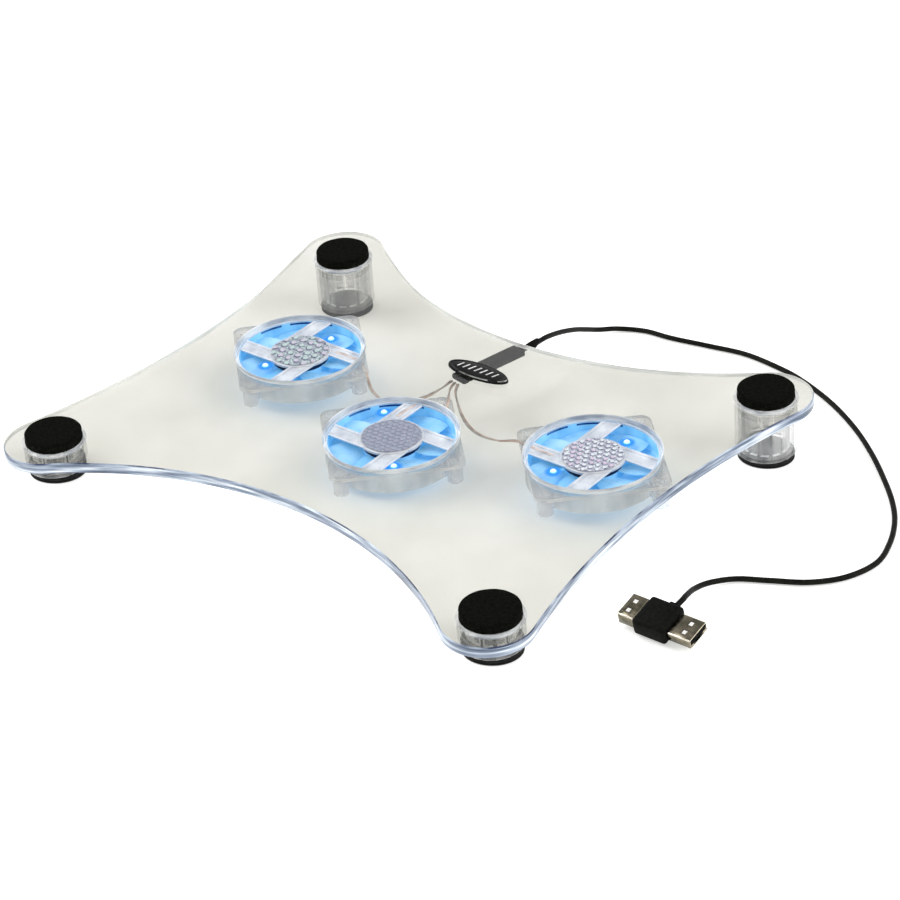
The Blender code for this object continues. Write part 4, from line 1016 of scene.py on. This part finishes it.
def make_blade(start):
    """One swept blade with a rounded tip."""
    work = bmesh.new()
    radial, chordwise = 9, 14
    root = HUB_RADIUS - 0.6 * MM
    chord, sweep = radians(BLADE_CHORD), radians(BLADE_SWEEP)
    rows = []
    for i in range(radial):
        reach = i / (radial - 1)
        radius = root + (BLADE_TIP - root) * reach
        faces = []
        for offset in (0.5, -0.5):
            face = []
            for j in range(chordwise):
                along = j / (chordwise - 1)
                angle = start + chord * along + sweep * reach * reach
                thickness = (0.9 - 0.5 * abs(2.0 * along - 1.0) ** 3) * MM
                height = BLADE_TOP - BLADE_DROP * along ** 1.2 + offset * thickness
                face.append(work.verts.new((radius * cos(angle), radius * sin(angle), height)))
            faces.append(face)
        rows.append(faces[0] + faces[1][::-1])
    list(bridge(work, rows))
    for row in (rows[0], rows[-1]):
        for j in range(chordwise - 1):
            work.faces.new((row[j], row[j + 1], row[-2 - j], row[-1 - j]))
    bmesh.ops.recalc_face_normals(work, faces=work.faces)
    return finished(work, "blade")


def make_rotor():
    """Seven translucent blades round a dark hub."""
    inner = HUB_RADIUS - 1.2 * MM
    floor = HUB_BOTTOM + 1.2 * MM
    hub = turned("rotor", [
        (0.0, floor), (inner, floor), (inner, HUB_TOP), (HUB_RADIUS - 0.2 * MM, HUB_TOP),
        (HUB_RADIUS, HUB_TOP - 0.2 * MM), (HUB_RADIUS, HUB_TOP - 2.3 * MM),
        (HUB_RADIUS, HUB_BOTTOM + 0.6 * MM),
        (HUB_RADIUS - 0.6 * MM, HUB_BOTTOM), (0.0, HUB_BOTTOM)], 96)
    blades = gathered("blades", [make_blade(2.0 * pi * i / BLADES) for i in range(BLADES)])
    work = bmesh.new()
    work.from_mesh(hub)
    for face in work.faces:
        face.material_index = 1 if face.calc_center_median().z > HUB_TOP - 2.4 * MM else 0
    work.from_mesh(blades)
    return finished(work, "rotor", 35.0)


# Pitch and height of the bumps on the label of each fan
BUMPS = ((4.7 * MM, 0.24 * MM), (3.0 * MM, 0.08 * MM), (3.4 * MM, 0.26 * MM))


def make_label(number):
    """Foil disc embossed with rows of bumps in four tones, with painted shade and highlight."""
    pitch, height = BUMPS[number - 1]
    base = DUCT_TOP + GAP
    rings, steps = 60, 150
    work = bmesh.new()
    rows = []
    for i in range(1, rings + 1):
        radius = LABEL_RADIUS * i / rings
        rows.append([work.verts.new((x, y, base + 0.06 * MM + bump_height(x, y, pitch, height)))
                     for x, y in circle(radius, steps)])
    centre = work.verts.new((0.0, 0.0, base + 0.06 * MM + bump_height(0.0, 0.0, pitch, height)))
    for i in range(steps):
        work.faces.new((centre, rows[0][i], rows[0][(i + 1) % steps]))
    lower = [work.verts.new((x, y, base)) for x, y in circle(LABEL_RADIUS, steps)]
    for face, _, _ in bridge(work, rows + [lower]):
        spot = face.calc_center_median()
        face.material_index = foil_and_painted_light_zone(spot.x, spot.y, pitch, number)
    work.faces.new(list(reversed(lower)))
    bmesh.ops.recalc_face_normals(work, faces=work.faces)
    return finished(work, f"label_{number}", 50.0)


def nearest_bump(x, y, pitch):
    """Distance to the nearest bump of a hexagonal grid, and that bump's row and column."""
    row_height = pitch * sin(pi / 3)
    best = None
    for row in (round(y / row_height) + k for k in (-1, 0, 1)):
        shift = 0.5 * pitch if row % 2 else 0.0
        column = round((x - shift) / pitch)
        distance = hypot(x - column * pitch - shift, y - row * row_height)
        if best is None or distance < best[0]:
            best = (distance, row, column)
    return best


def bump_height(x, y, pitch, height):
    """Height of the domed bumps, none at the label's rim."""
    distance, _, _ = nearest_bump(x, y, pitch)
    dome = max(0.0, 1.0 - (distance / (0.46 * pitch)) ** 2)
    fade = min(1.0, max(0.0, (LABEL_RADIUS - hypot(x, y)) / MM))
    return height * dome * fade


def foil_and_painted_light_zone(x, y, pitch, number):
    """Which tone a spot has: foil ground, painted shade under a bump, or a bump tint with painted
    highlight.
    """
    distance, row, column = nearest_bump(x, y, pitch)
    fleck = noise.noise(Vector((x, y, 7.0 * MM * number)) * 900.0)
    tint = noise.noise(Vector((row * 1.7, column * 1.3, number * 5.1)))
    # Bump centres: foil tint with painted highlight
    if distance + 0.10 * pitch * fleck < 0.24 * pitch:
        return 2 if tint > -0.05 else 3
    # Painted shade: a dark crescent on the lower side of each bump's rim
    if 0.30 * pitch < distance + 0.12 * pitch * fleck < 0.44 * pitch and y < row * pitch * 0.87:
        return 1
    return 0 if fleck < 0.28 else 2


def make_lamp(orbit):
    """Domed lamp on a short tab."""
    dome = LAMP_RADIUS
    profile = [(dome * sin(0.5 * pi * i / 8), -0.9 * MM - dome + dome * cos(0.5 * pi * i / 8))
               for i in range(9)]
    profile += [(dome, -3.0 * MM), (dome - 0.1 * MM, -3.1 * MM), (0.0, -3.1 * MM)]
    lamp = turned("lamp", profile, 32)
    length = orbit - DISC_RADIUS - GAP - 0.5 * MM
    tab = box("tab", (length, 1.6 * MM, 0.6 * MM), (-0.5 * MM - 0.5 * length, 0.0, -2.74 * MM))
    lamp = combine("lamp", lamp, [("UNION", tab)])
    for face in lamp.polygons:
        face.material_index = 1 if face.center.x < -1.2 * MM and face.center.z < -2.3 * MM else 0
    return smooth(lamp)


LAMP_SPOTS = {
    "fan_led_1a": (3.6 * MM, 18.1 * MM), "fan_led_1b": (-6.4 * MM, -17.4 * MM),
    "fan_led_2a": (-17.2 * MM, 15.6 * MM), "fan_led_2b": (15.3 * MM, -17.2 * MM),
    "fan_led_3a": (5.0 * MM, 18.2 * MM), "fan_led_3b": (-8.0 * MM, -18.3 * MM),
}


def make_fans():
    """Three fans with their labels, rotors and lamps."""
    housing = make_housing()
    rotor = make_rotor()
    painted_glow_sheet = make_painted_glow_sheet()
    halo = make_halo()
    for number, spot in zip(FANS, FAN_SPOTS):
        tag = str(number)
        place = PAD @ Matrix.Translation((spot.x, spot.y, 0.0))
        finishes = ["housing_plastic", "arm_plastic", "plastic_glint", "duct_wall"]
        add_piece("housing_" + tag, housing, finishes, place, "fan_housing_" + tag)
        add_piece("rotor_" + tag, rotor, ["blade_plastic_painted_glow", "hub_plastic"], place,
                  "fan_rotor_" + tag, f"fan_{tag}_rotor")
        add_piece("label_" + tag, make_label(number), ["sticker_" + tag + zone for zone in "abcd"],
                  place, "fan_label_" + tag)
        # A sheet in each duct that carries painted reflection and glow
        add_piece("duct_painted_glow_sheet_" + tag, painted_glow_sheet, ["duct_glow", "duct_painted_dark_arc"], place, None)
        for suffix in "ab":
            node = "fan_led_" + tag + suffix
            x, y = LAMP_SPOTS[node]
            turn = Matrix.Translation((x, y, 0.0)) @ Matrix.Rotation(atan2(y, x), 4, "Z")
            add_piece("lamp_" + tag + suffix, make_lamp(hypot(x, y)), ["led_lens", "duct_glow"],
                      place @ turn, node)
            add_piece("halo_" + tag + suffix, halo, ["led_halo"], place @ turn, None)
        for node, finish in (("fan_shaft_", "steel"), ("fan_bearing_", "brass"),
                             ("fan_stator_", "motor_iron"), ("fan_board_", "motor_board")):
            finish_node(node + tag, finish)


def make_painted_glow_sheet():
    """Sheet in the duct with painted blue reflection and glow, and a painted dark reflection near
    its top.
    """
    radius = DUCT_BORE - 0.06 * MM
    levels = (-1.35, -1.5, -2.5, -2.8, -8.0, -13.9)
    steps = 128
    work = bmesh.new()
    rows = [[work.verts.new((x, y, level * MM)) for x, y in circle(radius, steps)]
            for level in levels]
    for number, (upper, lower) in enumerate(zip(rows, rows[1:])):
        for i in range(steps):
            j = (i + 1) % steps
            face = work.faces.new((upper[i], upper[j], lower[j], lower[i]))
            face.material_index = 1 if number == 1 and painted_dark_arc_share(i / steps) else 0
    shape = helper("duct_painted_glow_sheet", finished(work, "duct_painted_glow_sheet"))
    solid = shape.modifiers.new("wall", "SOLIDIFY")
    solid.thickness = 0.05 * MM
    return smooth(bake(shape))


def painted_dark_arc_share(turn):
    """The painted dark reflection runs in broken arcs along the upper left of each duct."""
    return 0.27 < turn < 0.39 or 0.41 < turn < 0.47 or 0.60 < turn < 0.72


def make_halo():
    """Shallow dish of blue light round a lamp."""
    levels = 14
    top, sag, bottom = -2.08 * MM, 0.10 * MM, -2.24 * MM
    profile = [(HALO_RADIUS * i / levels, top - sag * (i / levels) ** 2)
               for i in range(levels + 1)]
    profile += [(HALO_RADIUS, bottom), (0.0, bottom)]
    return turned("halo", profile, 48)


# ---------------- badge, cover and wires
def make_badge():
    """Domed oval badge with a raised rim and a row of plain silver strokes."""
    half_length, half_width = 16.8 * MM, 5.8 * MM
    profile = [(0.0, 1.9 * MM), (0.5, 1.85 * MM), (0.80, 1.62 * MM), (0.86, 1.50 * MM),
               (0.885, 1.70 * MM), (0.92, 1.80 * MM), (0.955, 1.62 * MM), (0.985, 1.1 * MM),
               (1.0, 0.5 * MM), (1.0, 0.0), (0.0, 0.0)]
    mesh = turned("badge", profile, 96)
    mesh.transform(Matrix.Diagonal((half_length, half_width, 1.0, 1.0)))
    place = PAD @ Matrix.Translation((*BADGE_SPOT, PLATE_TOP + GAP))
    for face in mesh.polygons:
        across, along = face.center.y / half_width, face.center.x / half_length
        # Painted highlight on the rim's front arc and right end
        lit = across < -0.35 and -0.45 < along < 0.55 or across < 0.1 and along > 0.8
        face.material_index = 1 if lit and 0.95 < hypot(along, across) < 0.99 else 0
    add_piece("badge_plate", smooth(mesh, 30.0), ["gloss_black", "badge_rim_painted_highlight"], place, "badge")
    strokes = []
    for i in range(7):
        x = (i - 3) * 3.3 * MM
        tall = 4.0 * MM * (1.0 - 0.35 * (x / half_length) ** 2)
        stroke = box("stroke", (0.8 * MM, tall, 0.18 * MM), (0.0, 0.0, 0.0))
        shear = Matrix(((1.0, 0.35, 0.0, x), (0.0, 1.0, 0.0, 0.0),
                        (0.0, 0.0, 1.0, 1.90 * MM - 0.40 * MM * (x / half_length) ** 2),
                        (0.0, 0.0, 0.0, 1.0)))
        strokes.append(moved(stroke, shear))
    add_piece("badge_strokes", bevelled(gathered("badge_strokes", strokes), 0.06 * MM, 2),
              ["silver_print"], place, None)


def finish_node(node, finish):
    """Give a CAD node that stays a detailed material."""
    shape = frame["nodes"][node]
    if not shape.material_slots:
        shape.data.materials.append(FINISH[finish])
    for slot in shape.material_slots:
        slot.material = FINISH[finish]


LEAD_ROUTES_MM = (
    ((-10.4, 43.2, -6.6), (-10.2, 37.0, -6.6), (-10.6, 31.0, -6.6), (-12.6, 23.5, -6.6),
     (-18.5, 16.0, -6.6), (-25.5, 13.0, -6.6), (-32.0, 14.6, -6.4), (-37.5, 17.5, -5.6),
     (-44.0, 23.0, -3.7), (-51.5, 29.0, -3.4)),
    ((-8.2, 42.6, -6.6), (-6.6, 37.6, -6.6), (-2.8, 31.4, -6.2), (2.0, 25.0, -3.7),
     (5.6, 19.0, -3.4)),
    ((-6.0, 42.2, -6.6), (-2.6, 36.2, -6.6), (3.0, 30.3, -6.6), (12.9, 21.4, -6.6),
     (22.3, 15.4, -6.6), (31.0, 12.9, -6.6), (39.6, 13.3, -6.2), (46.2, 14.4, -4.6),
     (51.0, 14.6, -3.6), (55.0, 14.0, -3.4)),
)


def make_leads():
    """A pair of thin insulated wires to each fan, and on along its arm to the motor."""
    for number, route in enumerate(LEAD_ROUTES_MM, 1):
        for name, side, finish in (("a", -0.42, "lead_pink"), ("b", 0.42, "lead_grey")):
            points = []
            for i, (x, y, z) in enumerate(route):
                before = route[max(0, i - 1)]
                after = route[min(len(route) - 1, i + 1)]
                along = Vector((after[0] - before[0], after[1] - before[1])).normalized()
                sway = side * cos(0.9 * i)
                points.append(((x - along.y * sway) * MM, (y + along.x * sway) * MM,
                               (z + 0.2 * sin(0.9 * i) * (1 if side > 0 else -1)) * MM))
            add_tube(f"lead_{number}{name}", points, 0.42 * MM, finish, PAD,
                     f"fan_lead_{number}" if name == "a" else None)
        make_arm_leads(number)


# Which arm of each fan carries its wires
ARM_TURNS = (0.0, 0.5 * pi, pi)


def make_arm_leads(number):
    """The wire pair lying in the channel of the fan's wired arm."""
    spot = FAN_SPOTS[number - 1]
    turn = Matrix.Rotation(ARM_TURNS[number - 1], 4, "Z")
    place = PAD @ Matrix.Translation((spot.x, spot.y, 0.0)) @ turn
    for name, offset, finish in (("c", 8.5, "lead_pink"), ("d", 9.5, "lead_grey")):
        points = [((14.8 + 3.2 * i) * MM, (offset + 0.25 * sin(1.3 * i)) * MM, -1.15 * MM)
                  for i in range(5)]
        add_tube(f"lead_{number}{name}", points, 0.24 * MM, finish, place)


# ---------------- build
FINISH = make_finishes()
make_camera()
make_cord(make_plug() + [make_strain_relief()])
make_stage()
make_light()
make_plate()
make_feet()
make_fans()
make_badge()
finish_node("cable_cover", "cover_grey")
finish_node("wire_outlet", "cover_grey")
make_leads()

bpy.context.view_layer.update()
curves = [piece for piece in PIECES.objects if piece.type == "CURVE"]
for piece in curves:
    piece.hide_render = True
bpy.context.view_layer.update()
for piece in curves:
    piece.hide_render = False
